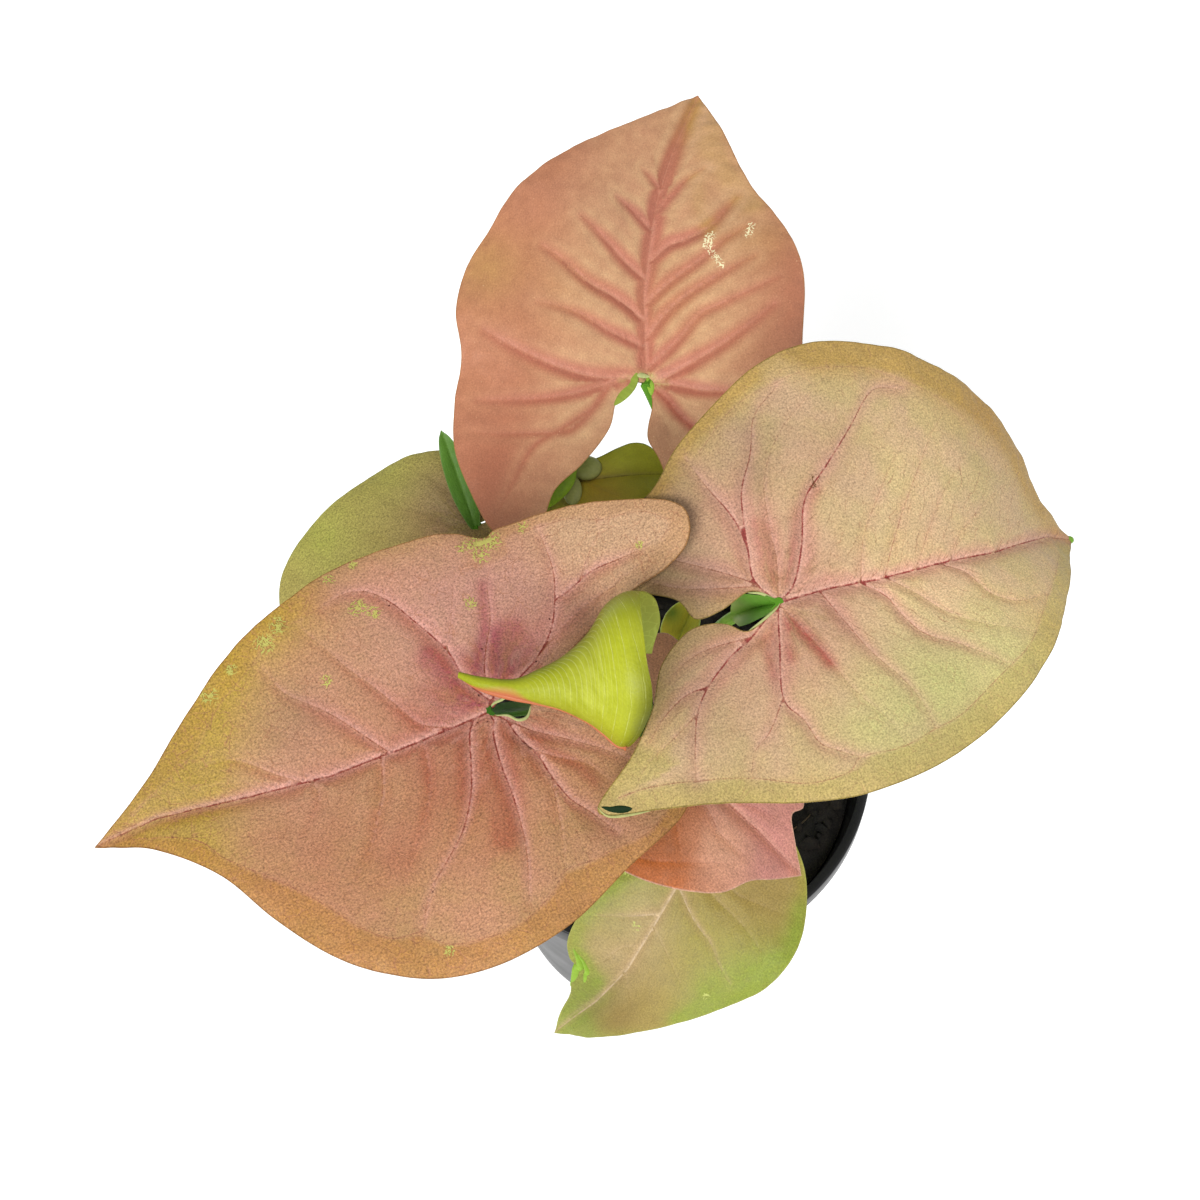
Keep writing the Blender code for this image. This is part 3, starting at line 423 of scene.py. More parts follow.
# How far the wide end reaches past the last station, by angle round the roll.
ROLL_END = [(205, -2.2), (190, -1.2), (172, 0.6), (147, 2.8), (132, 2.8), (112, 1.6), (76, 0.6),
            (40, 0.3), (28, 1.2), (12, 3.2), (0, 4.4), (-23, 5.4), (-50, 3.4)]
ROLL_END_POWER = 6
ROLL_ANGLES = (205, -50)
ROLL_STEPS = 150
ROLL_ROWS = 110
ROLL_LENGTH = 38
ROLL_TIP_R = 0.45
ROLL_FOOT = (-4, 4)
ROLL_FOOT_R = 2.2
ROLL_LEAN = (0.05, -0.25)
ROLL_REACH = 50
ROLL_JOINT = (0.86, -35.0)
# Sheath and rounded caps beside the back leaf: centre and radii of each cap.
SHEATH_ROUTE = [(-30.0, 26.5, 189.0), (-27.5, 30.0, 190.0), (-24.5, 34.5, 190.0),
                (-22.4, 38.6, 189.0)]
SHEATH_WIDTH = 2.4
SHEATH_THICK = 0.4
CAPS = [((-19.5, 39.9, 187.0), (3.9, 3.6, 1.8)), ((-23.0, 32.8, 187.2), (2.4, 4.4, 1.2))]

# Each look has these colours, linear and in thousandths, and its own amounts.
TINTS = ("base", "warm", "pink", "olive", "accent", "deep", "halo", "vein", "net", "margin",
         "rim", "crest_highlight", "fleck", "under", "wash")
PLAIN_LOOK = dict(
    band=(0, 0), band_width=3, seam=(0, 0), quilt=0, valley=2, halo_amount=0.3, line=0.7,
    crest_amount=0.3, net_amount=0.1, grain=0.2, specks=0, streaks=0, streak_reach=20, shade=0.2,
    shine=0.2, side_veins=0, halo_width=1, ticks=0, rough=0.45)


def look_of(tints, **amounts):
    """One look: the plain amounts, the colours in the order of TINTS, and its own amounts."""
    colours = [tuple(int(n) / 1000 for n in tint.split()) for tint in tints.split(",")]
    return {**PLAIN_LOOK, **dict(zip(TINTS, colours)), **amounts}


LOOKS = {
    "leaf_west": look_of("""
            365 205 90, 395 195 108, 405 200 155, 345 240 18, 255 42 62, 290 80 38, 450 215 172,
            185 32 22, 290 125 65, 352 162 36, 190 85 18, 430 260 150, 430 410 100, 250 230 120,
            440 275 160""",
        band=(0.05, 0.16), band_width=2.6, seam=(0.62, 0.22), quilt=0.85, valley=2.3,
        halo_amount=0.7, line=1.15, crest_amount=0.35, net_amount=0.7, grain=1, specks=1,
        streaks=0.95, streak_reach=26, shade=0.8, shine=0.6, side_veins=0.5, halo_width=1.3,
        ticks=0.6, rough=0.52),
    "leaf_east": look_of("""
            440 330 152, 470 312 185, 450 220 155, 385 225 55, 300 55 45, 265 130 62, 465 250 185,
            215 36 30, 300 160 85, 365 300 95, 170 120 15, 460 375 195, 90 30 10, 220 250 115,
            415 400 150""",
        band=(0.65, 0.5), band_width=5, seam=(0.2, 0.65), quilt=0.8, valley=2.3, halo_amount=0.8,
        line=1.15, crest_amount=0.4, net_amount=0.42, grain=0.85, specks=0.5, streaks=0.75,
        streak_reach=24, shade=0.75, shine=0.6, side_veins=0.7, halo_width=1.8, ticks=1, rough=0.52),
    "leaf_north": look_of("""
            362 138 73, 378 148 84, 430 145 105, 380 215 55, 400 430 130, 290 80 45, 450 185 125,
            470 215 140, 330 120 65, 400 185 90, 290 135 45, 490 290 152, 720 680 420, 200 260 50""",
        quilt=1.15, halo_amount=0.45, crest_amount=1.1, grain=0.36, specks=0.08, streaks=0.5,
        streak_reach=30, shade=0.85, shine=0.6, side_veins=0.15, halo_width=1.3),
    "leaf_south": look_of("""
            272 199 63, 279 206 71, 360 255 135, 236 218 26, 189 240 26, 236 146 31, 347 233 113,
            470 345 210, 204 135 31, 228 248 31, 260 270 58, 291 225 79, 420 450 120, 220 300 90,
            275 200 52""",
        band=(0.75, 0.55), band_width=2.4, quilt=0.5, valley=2.2, halo_amount=0.55, line=1.1,
        crest_amount=0.35, net_amount=0.12, grain=0.55, specks=0.15, streaks=0.3, shade=0.35,
        shine=0.4, side_veins=0.2, halo_width=1.3, rough=0.48),
    "leaf_blush": look_of("""
            460 215 130, 470 230 155, 470 190 170, 350 240 70, 210 300 40, 400 105 22, 470 230 170,
            300 85 45, 300 110 55, 460 200 130, 500 290 210, 480 250 170, 420 400 110, 300 220 110,
            500 260 170""",
        quilt=0.45, halo_amount=0.4, net_amount=0.15, grain=0.75, specks=0.1, streaks=0.3,
        shade=0.4, shine=0.4, side_veins=0.2, halo_width=1.2, rough=0.48),
    "leaf_nw": look_of("""
            302 236 70, 313 246 79, 324 171 79, 281 251 60, 254 272 45, 227 151 50, 248 191 60,
            216 151 50, 216 171 50, 302 261 70, 205 221 60, 324 261 85, 420 400 110, 240 290 120,
            300 190 110""",
        band=(0.3, 0.5), band_width=4, quilt=0.5, valley=2.4, halo_amount=0.35, line=0.35,
        net_amount=0.35, grain=0.95, streaks=0.75, shade=0.3, shine=0.35, side_veins=0.1,
        halo_width=1.2, rough=0.5),
    "leaf_back": look_of("""
            247 221 19, 266 237 21, 380 261 76, 247 229 19, 266 278 23, 237 144 15, 133 89 9,
            95 62 8, 171 131 15, 190 196 19, 76 114 11, 285 253 27, 200 200 50, 160 210 50""",
        quilt=0.3, halo_amount=0.25, line=0.8, crest_amount=0.2, grain=0.25, streaks=0.1,
        side_veins=0.1, rough=0.5),
    "leaf_new": look_of("""
            560 440 42, 580 450 46, 363 297 81, 297 347 34, 520 540 60, 40 110 8, 396 495 95,
            462 561 122, 248 330 34, 330 429 54, 429 528 108, 330 413 48, 200 200 50, 180 250 50""",
        band_width=2, quilt=0.1, valley=1.5, line=0.4, crest_amount=0.2, net_amount=0.05),
    "spear": look_of("""
            55 150 28, 81 163 24, 270 247 72, 95 182 24, 81 182 24, 47 111 14, 149 247 60,
            108 208 36, 68 143 22, 81 169 24, 110 210 50, 81 169 30, 200 200 50""",
        band_width=2, halo_amount=0, line=0.2, crest_amount=0, net_amount=0, shade=0, shine=0)}
ROLL_LOOK = dict(
    base=(0.3, 0.33, 0.012), warm=(0.315, 0.34, 0.017), pink=(0.44, 0.135, 0.06),
    deep=(0.13, 0.14, 0.004), halo=(0.39, 0.42, 0.05), vein=(0.455, 0.48, 0.12),
    under=(0.48, 0.56, 0.1), rough=0.38)

# What a point carries where nothing else is given: flat place and panel height;
# distance to a vein, its strength, distance to the margin, painted light and shade; the first four
# zones;
# halo, band, fleck and painted light on the vein slopes; the last zone.
BLANK = {"flat": (0, 0, 1), "marks": (9, 0, 9, 1), "zones": (0, 0, 0, 0), "extra": (0, 0, 0, 0.5),
         "more": (0, 0, 0)}


def between(a, b, c, d, t):
    """Soft curve from b to c, with a before it and d after it."""
    return 0.5 * (2 * b + (c - a) * t + (2 * a - 5 * b + 4 * c - d) * t * t
                  + (3 * b - a - 3 * c + d) * t ** 3)


def with_ends(points):
    """The points, with one more at each end in line with the last two."""
    return np.vstack([2 * points[0] - points[1], points, 2 * points[-1] - points[-2]])


def part(values):
    """The values, held between 0 and 1."""
    return np.clip(values, 0, 1)


def step_lengths(path):
    return np.linalg.norm(np.diff(path, axis=0), axis=1)


def travelled(path):
    """Distance along a path at each of its points."""
    return np.concatenate([[0], np.cumsum(step_lengths(path))])


def unit(vectors):
    """The vectors, each brought to length 1."""
    return vectors / np.linalg.norm(vectors, axis=-1, keepdims=True)


def smooth_path(points, count):
    """Evenly spaced points on a soft curve through the given ones."""
    ends = with_ends(np.array(points, float))
    dense = [between(*ends[k - 1:k + 3], t) for k in range(1, len(ends) - 2)
             for t in np.linspace(0, 1, 12, endpoint=False)]
    dense = np.array(dense + [ends[-2]])
    along = travelled(dense)
    want = np.linspace(0, along[-1], count)
    return np.stack([np.interp(want, along, column) for column in dense.T], 1)


def run(steps, angle):
    """Horizontal and vertical travel along a curve with the given slope angles."""
    return [np.concatenate([[0], np.cumsum((v[1:] + v[:-1]) / 2 * np.diff(steps))])
            for v in (np.cos(angle), np.sin(angle))]


def turn(axis, angle):
    """Rotation matrix about an axis."""
    x, y, z = np.array(axis, float) / np.linalg.norm(axis)
    k = np.array([[0, -z, y], [z, 0, -x], [-y, x, 0]])
    return np.eye(3) + math.sin(angle) * k + (1 - math.cos(angle)) * k @ k


def leaf_frame(leaf):
    """Rotation from the leaf's own frame to the plant's."""
    pitch = math.radians(leaf["pitch"])
    start = (math.cos(pitch), 0.0, math.sin(pitch))
    return turn((0, 0, 1), math.radians(leaf["heading"])) @ turn(start, math.radians(leaf["roll"]))


def leaf_up(leaf):
    return leaf_frame(leaf) @ np.array([0.0, 0.0, 1.0])


def half_outline(leaf, side):
    return np.array(leaf["left"] if side == LEFT else leaf["right"], float)


def which_half(side):
    """Place of a half's number in a pair."""
    return 0 if side == LEFT else 1


def bend_half(leaf, side, x, w):
    """Carry flat points of one half to their place in the plant."""
    which = which_half(side)
    outline = half_outline(leaf, side)
    length = outline[-1][0]
    half_width = outline[:, 1].max()
    lobe_length = max(4.0, -outline[:, 0].min())
    pitch = math.radians(leaf["pitch"])
    ahead = np.linspace(0, length * 1.1, 240)
    slope = pitch - math.radians(leaf["droop"]) * (ahead / length)
    ahead_run, ahead_rise = run(ahead, slope)
    behind = np.linspace(0, lobe_length * 1.2, 160)
    lobe_slope = pitch + math.radians(leaf["lobe_drop"][which]) * (behind / lobe_length)
    behind_run, behind_rise = run(behind, lobe_slope)
    is_ahead = x >= 0
    mid_x = np.where(is_ahead, np.interp(x, ahead, ahead_run), -np.interp(-x, behind, behind_run))
    mid_z = np.where(is_ahead, np.interp(x, ahead, ahead_rise),
                     -np.interp(-x, behind, behind_rise))
    angle = np.where(is_ahead, np.interp(x, ahead, slope), np.interp(-x, behind, lobe_slope))
    across = np.linspace(0, half_width * 1.3, 200)
    lift = (math.radians(leaf["fold"][which])
            - math.radians(leaf["curl"][which]) * (across / half_width) ** CURL_POWER)
    across_run, across_rise = run(across, lift)
    outward = np.interp(w, across, across_run) + np.minimum(w, 0.0)
    front = outline[outline[:, 0] > 0]
    local_width = np.maximum(1.0, np.interp(x, front[:, 0], front[:, 1]))
    shift_x, shift = np.array(leaf["bow"], float).T
    sideways = np.interp(x, shift_x, shift) * (1 - part(w / local_width))
    up = np.interp(w, across, across_rise)
    reach = part(w / half_width)
    up = up + leaf["wave"] * reach ** 2 * np.sin(x / length * math.pi * leaf["waves"] + which)
    local = np.stack([mid_x - np.sin(angle) * up, side * outward + sideways,
                      mid_z + np.cos(angle) * up], 1)
    return local @ leaf_frame(leaf).T + np.array(leaf["joint"])


def bend_point(leaf, x, w):
    """Place of one flat point of the left half."""
    return bend_half(leaf, LEFT, np.array([x]), np.array([w]))[0]


def inside(points, loop):
    """True for each point that lies inside a closed loop."""
    result = np.zeros(len(points), bool)
    for (ax, ay), (bx, by) in zip(loop, np.roll(loop, -1, axis=0)):
        if ay == by:
            continue
        crosses = (ay > points[:, 1]) != (by > points[:, 1])
        edge_x = ax + (points[:, 1] - ay) / (by - ay) * (bx - ax)
        result ^= crosses & (points[:, 0] < edge_x)
    return result


def nearest(places, points):
    """Distance to and number of the nearest of some flat places, for each flat point."""
    tree = KDTree(len(places))
    for i, p in enumerate(places):
        tree.insert((p[0], p[1], 0.0), i)
    tree.balance()
    found = [tree.find((p[0], p[1], 0.0)) for p in points]
    return np.array([f[2] for f in found]), np.array([f[1] for f in found])


def refined(path, values, step=0.15):
    """The same line with points close together."""
    along = travelled(path)
    want = np.linspace(0, along[-1], int(along[-1] / step) + 2)
    fine = np.stack([np.interp(want, along, column) for column in path.T], 1)
    return fine, np.interp(want, along, values)


def vein_lines(leaf, side, midrib, margin, loop):
    """Fine points along each vein of one half, with the strength at each point."""
    spacing = leaf["spacing"]
    taken = [midrib]
    lines = []
    routes = [(False, *vein) for vein in leaf["veins"]] + [(True, *seam) for seam in leaf["seams"]]
    for is_seam, vein_side, strength, *route in routes:
        if vein_side != side:
            continue
        path = smooth_path(route, max(3, int(step_lengths(route).sum() / (spacing * 0.9))))
        fade = SEAM_FADE if is_seam else VEIN_FADE
        force = strength * (1 - fade * np.linspace(0, 1, len(path)) ** 1.5)
        everything = np.vstack(taken)
        gap = np.linalg.norm(everything - path[0], axis=1)
        snaps = gap.min() < VEIN_SNAP and not is_seam
        start = everything[gap.argmin()] if snaps else path[0]
        clear = nearest(margin, path)[0] > VEIN_CLEAR_OF_EDGE
        clear &= inside(path, loop)
        clear &= np.linalg.norm(path - start, axis=1) > spacing * 0.5
        path = path[clear]
        force = force[clear]
        if len(path) < 2:
            continue
        if snaps:
            path = np.vstack([start, path])
            force = np.concatenate([[strength], force])
        lines.append((path, force, strength, is_seam))
        taken.append(path)
    return lines


def half_sheet(leaf, side):
    """Flat triangles of one half, with its margin and its veins as edges of the mesh."""
    spacing = leaf["spacing"]
    outline = half_outline(leaf, side)
    length = outline[-1][0]
    notch = leaf["notch"]
    if notch > 0:
        outline = np.vstack([(notch - 0.4, 1.2), outline])
    margin = smooth_path(outline, int(step_lengths(outline).sum() / spacing) + 2)
    mid_count = max(3, int(length / spacing))
    midrib = np.stack([np.linspace(length, notch, mid_count + 1)[1:], np.zeros(mid_count)], 1)
    loop = np.vstack([midrib[-1:], margin, midrib[:-1]])
    lines = vein_lines(leaf, side, midrib, margin, loop)
    low = loop.min(axis=0)
    high = loop.max(axis=0)
    row_step = spacing * ROW_STEP
    inner = []
    for row in range(int((high[1] - low[1]) / row_step) + 1):
        xs = np.arange(low[0] + 0.5 * spacing * (row % 2), high[0], spacing)
        inner.append(np.stack([xs, np.full(len(xs), low[1] + row * row_step)], 1))
    inner = np.vstack(inner)
    inner = inner[inside(inner, loop)]
    inner = inner[nearest(loop, inner)[0] > CLEAR_OF_EDGE * spacing]
    edges = []
    count = len(loop)
    paths = [line[0] for line in lines]
    for path in paths:
        edges += [(count + k, count + k + 1) for k in range(len(path) - 1)]
        count += len(path)
    if paths:
        inner = inner[nearest(np.vstack(paths), inner)[0] > CLEAR_OF_VEIN * spacing]
    points = [Vector(p) for p in np.vstack([loop, *paths, inner])]
    result = delaunay_2d_cdt(points, edges, [list(range(len(loop)))], 1, 0.001)
    flat = np.array([tuple(v) for v in result[0]])
    return flat, [tuple(f) for f in result[2]], lines, margin, midrib


def falloff(distance, width):
    """1 at no distance, and softly down to 0 past the width."""
    return np.exp(-(distance / width) ** 2)


def line_field(lines, flat):
    """Distance to the nearest of some lines, its strength there, and the nearest place."""
    fine = [refined(*line[:2]) for line in lines]
    places = np.vstack([f[0] for f in fine])
    force = np.concatenate([f[1] for f in fine])
    gap, index = nearest(places, flat)
    return gap, force[index], places[index], places


def half_masks(leaf, look, side, flat, lines, margin, midrib):
    """Vein, halo, edge distance, colour zones, and painted light and shade, for the flat points of one
    half.
    """
    which = which_half(side)
    mid_line = (midrib, 1.25 - 0.75 * midrib[:, 0] / leaf["left"][-1][0])
    folds = [line for line in lines if not line[3]]
    seams = [line for line in lines if line[3]]
    gap, force = line_field([mid_line] + lines, flat)[:2]
    main = [line for line in folds if line[2] > MAIN_VEIN]
    main_gap, main_force = line_field([mid_line] + main, flat)[:2]
    halo = main_force * falloff(main_gap, look["halo_width"])
    away, fold_force, fold_places = line_field([mid_line] + folds, flat)[:3]
    valley = part(fold_force * 1.2) * np.exp(-away / look["valley"])
    # Painted shade on the slope of each vein that faces away from LIGHT_ANGLE, and a painted highlight
    # on the slope that faces it.
    sun = math.radians(LIGHT_ANGLE - leaf["heading"])
    sun = np.array([math.cos(sun), side * math.sin(sun)])
    facing = (flat - fold_places) @ sun / np.maximum(away, 0.25)
    slope_light = 0.5 - 0.5 * facing * part(1.3 * fold_force) * np.exp(-away / SLOPE_LIGHT_WIDTH)
    edge, on_margin = nearest(margin, flat)
    band = np.zeros(len(flat))
    if seams:
        near_margin = nearest(line_field(seams, flat)[3], margin)[0][on_margin]
        share = part(0.5 + (near_margin - edge) / 0.9)
        band = look["seam"][which] * share * part((BAND_REACH - near_margin) / 2)
    zones = np.zeros((len(flat), len(ZONES)))
    light = np.ones(len(flat))
    for zone, blot_side, (x, w), radius, strength in leaf["blots"]:
        blot = strength * falloff(np.hypot(flat[:, 0] - x, flat[:, 1] - side * blot_side * w), radius)
        if zone == "light":
            light += blot
        else:
            zones[:, ZONES.index(zone)] += blot
    for zone, stroke_side, width, strength, *route in leaf["strokes"]:
        path = smooth_path(route, 24) * (1, side * stroke_side)
        zones[:, ZONES.index(zone)] += strength * falloff(nearest(path, flat)[0], width)
    zones[:, ZONES.index("olive")] += look["band"][which] * falloff(edge, look["band_width"])
    fleck = np.zeros(len(flat))
    for fleck_side, (x, w), radius, *stretch in leaf["flecks"]:
        if fleck_side == side:
            reach = np.array(stretch[0] if stretch else (0.001, 0.0))
            offset = flat - (x, w)
            share = part(offset @ reach / (reach @ reach))[:, None]
            spread = np.linalg.norm(offset - share * reach, axis=1)
            fleck = np.maximum(fleck, falloff(spread, radius))
    zones = part(zones)
    blank = np.zeros(len(flat))
    masks = dict(marks=[gap, force, edge, light], extra=[halo, band, fleck, slope_light],
                 zones=zones[:, :4].T, more=[zones[:, 4], blank, blank],
                 flat=[flat[:, 0], side * flat[:, 1], 1 - valley])
    return {name: np.stack(list(parts), 1) for name, parts in masks.items()}, valley


def sheet_normals(points, tris):
    """Average normal at each point."""
    a, b, c = (points[tris[:, k]] for k in range(3))
    face = np.cross(b - a, c - a)
    normals = np.zeros_like(points)
    for k in range(3):
        np.add.at(normals, tris[:, k], face)
    return normals / np.maximum(np.linalg.norm(normals, axis=1, keepdims=True), 1e-12)


def rim_faces(tris, count):
    """Faces that join the border of the upper sheet to the lower one."""
    edges = {(int(t[k]), int(t[(k + 1) % 3])) for t in tris for k in range(3)}
    faces = []
    for a, b in sorted(edges):
        if (b, a) not in edges:
            faces += [(b, a, count + a), (b, count + a, count + b)]
    return faces


def circle(sides):
    """Evenly spaced angles round a circle."""
    return [2 * math.pi * k / sides for k in range(sides)]


def bands(rings, sides, first=0):
    """Corners of the faces between rings of points: two on a ring, two on the next."""
    for i in range(rings - 1):
        a = first + i * sides
        for k in range(sides):
            n = (k + 1) % sides
            yield a + k, a + n, a + sides + n, a + sides + k


def tube_faces(rings, sides):
    """Faces of a tube with closed ends."""
    last = (rings - 1) * sides
    return [tuple(range(sides))[::-1], tuple(range(last, last + sides)), *bands(rings, sides)]


class Form:
    """Collects the points, faces, material numbers and masks of one piece."""

    def __init__(self):
        self.verts = []
        self.faces = []
        self.slots = []
        self.masks = {name: [] for name in BLANK}
        self.count = 0

    def add(self, verts, faces, slots, **masks):
        n = len(verts)
        self.verts.append(np.asarray(verts, float))
        self.faces += [tuple(int(i) + self.count for i in f) for f in faces]
        self.slots += [slots] * len(faces) if isinstance(slots, int) else slots
        for name, blank in BLANK.items():
            given = np.asarray(masks.get(name, blank), float)
            self.masks[name].append(np.broadcast_to(given, (n, len(blank))))
        self.count += n

    def add_sheet(self, points, normals, tris, thin, ridge, slots, **masks):
        """An upper and a lower sheet and the rim between them."""
        upper, under = slots
        n = len(points)
        top = points + normals * thin / 2
        low = points - normals * (thin / 2 + ridge)
        rims = rim_faces(tris, n)
        faces = tris.tolist() + (n + tris[:, ::-1]).tolist() + rims
        numbers = [upper] * len(tris) + [under] * len(tris) + [upper] * len(rims)
        doubled = {name: np.vstack([values] * 2) for name, values in masks.items()}
        self.add(np.vstack([top, low]), faces, numbers, **doubled)

    def build(self, name, materials, node):
        mesh = new_mesh(name, np.vstack(self.verts), self.faces)
        for material in materials:
            mesh.materials.append(material)
        mesh.polygons.foreach_set("material_index", self.slots)
        for layer_name, parts in self.masks.items():
            values = np.vstack(parts).astype(np.float32)
            is_colour = values.shape[1] == 4
            kind = "FLOAT_COLOR" if is_colour else "FLOAT_VECTOR"
            layer = mesh.attributes.new(layer_name, kind, "POINT")
            layer.data.foreach_set("color" if is_colour else "vector", values.ravel())
        dress(new_item(name, mesh), node, 50)


def new_mesh(name, verts, faces):
    mesh = bpy.data.meshes.new(name)
    mesh.from_pydata((np.array(verts) * MM).tolist(), [], faces)
    return mesh


def new_item(name, data):
    """Put a mesh, light or camera in the scene."""
    item = bpy.data.objects.new(name, data)
    bpy.context.scene.collection.objects.link(item)
    return item


def dress(item, node, sharp):
    """Shade a finished piece; it rides on the plant's body and stands for one solid."""
    item.data.shade_smooth()
    item.data.set_sharp_from_angle(angle=math.radians(sharp))
    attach(item, "root")
    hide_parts(node)


def add_blade(form, leaf, look, slots):
    """Add one blade with its veins, quilting and wavy margin to a form."""
    on_midrib = {}
    columns = {name: [] for name in (*BLANK, "points", "relief", "ridge", "thin")}
    tris = []
    count = 0
    for side in (LEFT, RIGHT):
        flat, faces, *drawn = half_sheet(leaf, side)
        masks, valley = half_masks(leaf, look, side, flat, *drawn)
        x, w = flat.T
        gap, force, edge = masks["marks"].T[:3]
        ripple = [noise.noise(Vector((a * 0.13, side * b * 0.13, 3.0)))
                  + 0.4 * noise.noise(Vector((a * 0.36, side * b * 0.36, 8.0))) for a, b in flat]
        relief = (look["quilt"] * (0.3 - valley) * part(edge / 3.0)
                  + np.array(ripple) * (0.28 + 0.30 * falloff(edge, 5.0)))
        ridge = (KEEL * part(1 - x / leaf["left"][-1][0])
                 * falloff(np.hypot(w, np.minimum(x, 0)), KEEL_WIDTH))
        ridge = np.maximum(ridge, VEIN_RIDGE * force * falloff(gap, 0.75))
        thin = BLADE_EDGE + (BLADE - BLADE_EDGE) * part(edge / 2.0)
        masks.update(points=bend_half(leaf, side, x, w), relief=relief, ridge=ridge, thin=thin)
        kept, order = [], []
        for k, (a, b) in enumerate(flat):
            on_mid = abs(b) < 0.001 and a > -0.001
            number = on_midrib.get(round(a, 3)) if on_mid else None
            if number is None:
                number = count + len(kept)
                kept.append(k)
            if on_mid:
                on_midrib[round(a, 3)] = number
            order.append(number)
        count += len(kept)
        for name, values in masks.items():
            columns[name].append(values[kept])
        tris += [[order[k] for k in face][::side] for face in faces]
    masks = {name: np.concatenate(parts) for name, parts in columns.items()}
    points, relief, ridge, thin = (masks.pop(n) for n in ("points", "relief", "ridge", "thin"))
    tris = np.array(tris)
    normals = sheet_normals(points, tris)
    if normals[0] @ leaf_up(leaf) < 0:
        tris = tris[:, ::-1]
        normals = -normals
    points = points + normals * relief[:, None]
    form.add_sheet(points, normals, tris, thin[:, None], ridge[:, None], slots, **masks)


def tube_round(path, widths, heights, up, sides):
    """Points and faces of a closed, flattened tube along a path."""
    path = np.asarray(path, float)
    tangents = unit(np.gradient(path, axis=0))
    verts = []
    for p, t, wide, high in zip(path, tangents, widths, heights):
        across = unit(np.cross(t, up))
        over = np.cross(across, t)
        verts += [p + wide * math.cos(a) * across + high * math.sin(a) * over
                  for a in circle(sides)]
    return np.array(verts), tube_faces(len(path), sides)


def add_lip(form, leaf, slot, side, tint, width, height, lift, *route):
    """A stretch of margin that rolls over, as a soft tapered fold lying on the blade; with the dark
    tint it is a painted shadow.
    """
    flat = smooth_path(route, LIP_RINGS)
    up = leaf_up(leaf)
    path = bend_half(leaf, side, flat[:, 0], flat[:, 1]) + up * lift
    swell = np.sin(np.linspace(0.06, math.pi - 0.06, LIP_RINGS)) ** 0.7
    verts, faces = tube_round(path, width * swell, height * swell, up, LIP_SIDES)
    spread = np.repeat(flat, LIP_SIDES, axis=0)
    plane = np.column_stack([spread[:, 0], side * spread[:, 1], np.ones(len(spread))])
    form.add(verts, faces, slot, flat=plane, zones=LIP_TINTS[tint])


def stalk_path(foot, joint, lean, arch):
    """Upright in its hole, then a soft arch to the blade."""
    ground = np.array([*foot, SOIL_TOP + STALK_UPRIGHT])
    joint = np.array(joint, float)
    upright = ground + np.array([0, 0, (joint[2] - ground[2]) * STALK_RISE])
    t = np.linspace(0, 1, STALK_RINGS)[:, None]
    arched = ((1 - t) ** 3 * ground + 3 * (1 - t) ** 2 * t * upright
              + 3 * (1 - t) * t * t * (joint - lean * arch) + t ** 3 * joint)
    return np.vstack([[*foot, SOIL_TOP - HOLE_DEPTH], arched])


def add_stalk(form, leaf, slot):
    """Add a stalk with its grooved face and the thin wings of its sheath."""
    lean = unit(np.array([*leaf["lean"], 1.0]))
    joint = leaf["joint"]
    if leaf["notch"] > 0:
        joint = bend_point(leaf, leaf["notch"] + 0.2, 0.2)
    foot_r = leaf["foot_r"]
    path = stalk_path(leaf["foot"], joint, lean, leaf["reach"])
    share = np.linspace(0, 1, len(path) - 1)
    radii = [foot_r, *(foot_r + (STALK_TOP_R - foot_r) * share ** STALK_TAPER)]
    path[-1] = path[-1] + lean * STALK_THROUGH
    tangents = unit(np.gradient(path, axis=0))
    side = np.array([-leaf["foot"][0], -leaf["foot"][1], 0.001])
    verts, flats, zones = [], [], []
    for p, t, r, s, far in zip(path, tangents, radii, [0, *share], travelled(path)):
        side = unit(side - t * (side @ t))
        other = np.cross(t, side)
        wing = part((s - 0.03) / 0.05) * part((0.58 - s) / 0.22)
        wing += (leaf["flare"] * part((s - 0.80) / 0.10)
                 * (1 - 0.5 * part((s - 0.94) / 0.06)))
        for a in circle(STALK_SIDES):
            bend = math.atan2(math.sin(a), math.cos(a))
            flange = math.exp(-((abs(bend) - WING_ANGLE) / WING_SPREAD) ** 2)
            hollow = math.exp(-(bend / GROOVE_SPREAD) ** 2)
            reach = r * (1 + WING_REACH * wing * flange - (0.06 + 0.16 * wing) * hollow)
            verts.append(p + reach * (math.cos(a) * side + math.sin(a) * other))
            flats.append((a * r, far, 0.0))
            zones.append((s, wing * flange, leaf["stalk_shade"], 0.0))
    form.add(verts, tube_faces(len(path), STALK_SIDES), slot, flat=flats, zones=zones)


def make_leaf(name):
    leaf = LEAVES[name]
    look = LOOKS[name]
    form = Form()
    add_blade(form, leaf, look, (0, 1))
    add_stalk(form, leaf, 2)
    materials = [leaf_material(name, look), under_material(name, look), STALK, FOLD]
    for lip in leaf["lips"]:
        add_lip(form, leaf, 3, *lip)
    if name == SPEAR_LEAF:
        add_blade(form, SPEAR, LOOKS["spear"], (4, 4))
        materials.append(leaf_material("spear", LOOKS["spear"]))
    if name == "leaf_east":
        add_nub(form, leaf, 3)
    if name == "leaf_back":
        add_sheath(form, 3)
    form.build(name + "_fine", materials, name)


def ball(centre, radii, rings=14, sides=20):
    """Points and faces of a soft ball."""
    verts = []
    for i in range(1, rings):
        v = math.pi * i / rings
        verts += [(math.sin(v) * math.cos(a), math.sin(v) * math.sin(a), math.cos(v))
                  for a in circle(sides)]
    top = len(verts)
    verts += [(0, 0, 1), (0, 0, -1)]
    faces = [(a, d, c, b) for a, b, c, d in bands(rings - 1, sides)]
    last = (rings - 2) * sides
    for k in range(sides):
        n = (k + 1) % sides
        faces += [(top, k, n), (top + 1, last + n, last + k)]
    return np.array(verts) * np.array(radii) + np.array(centre), faces


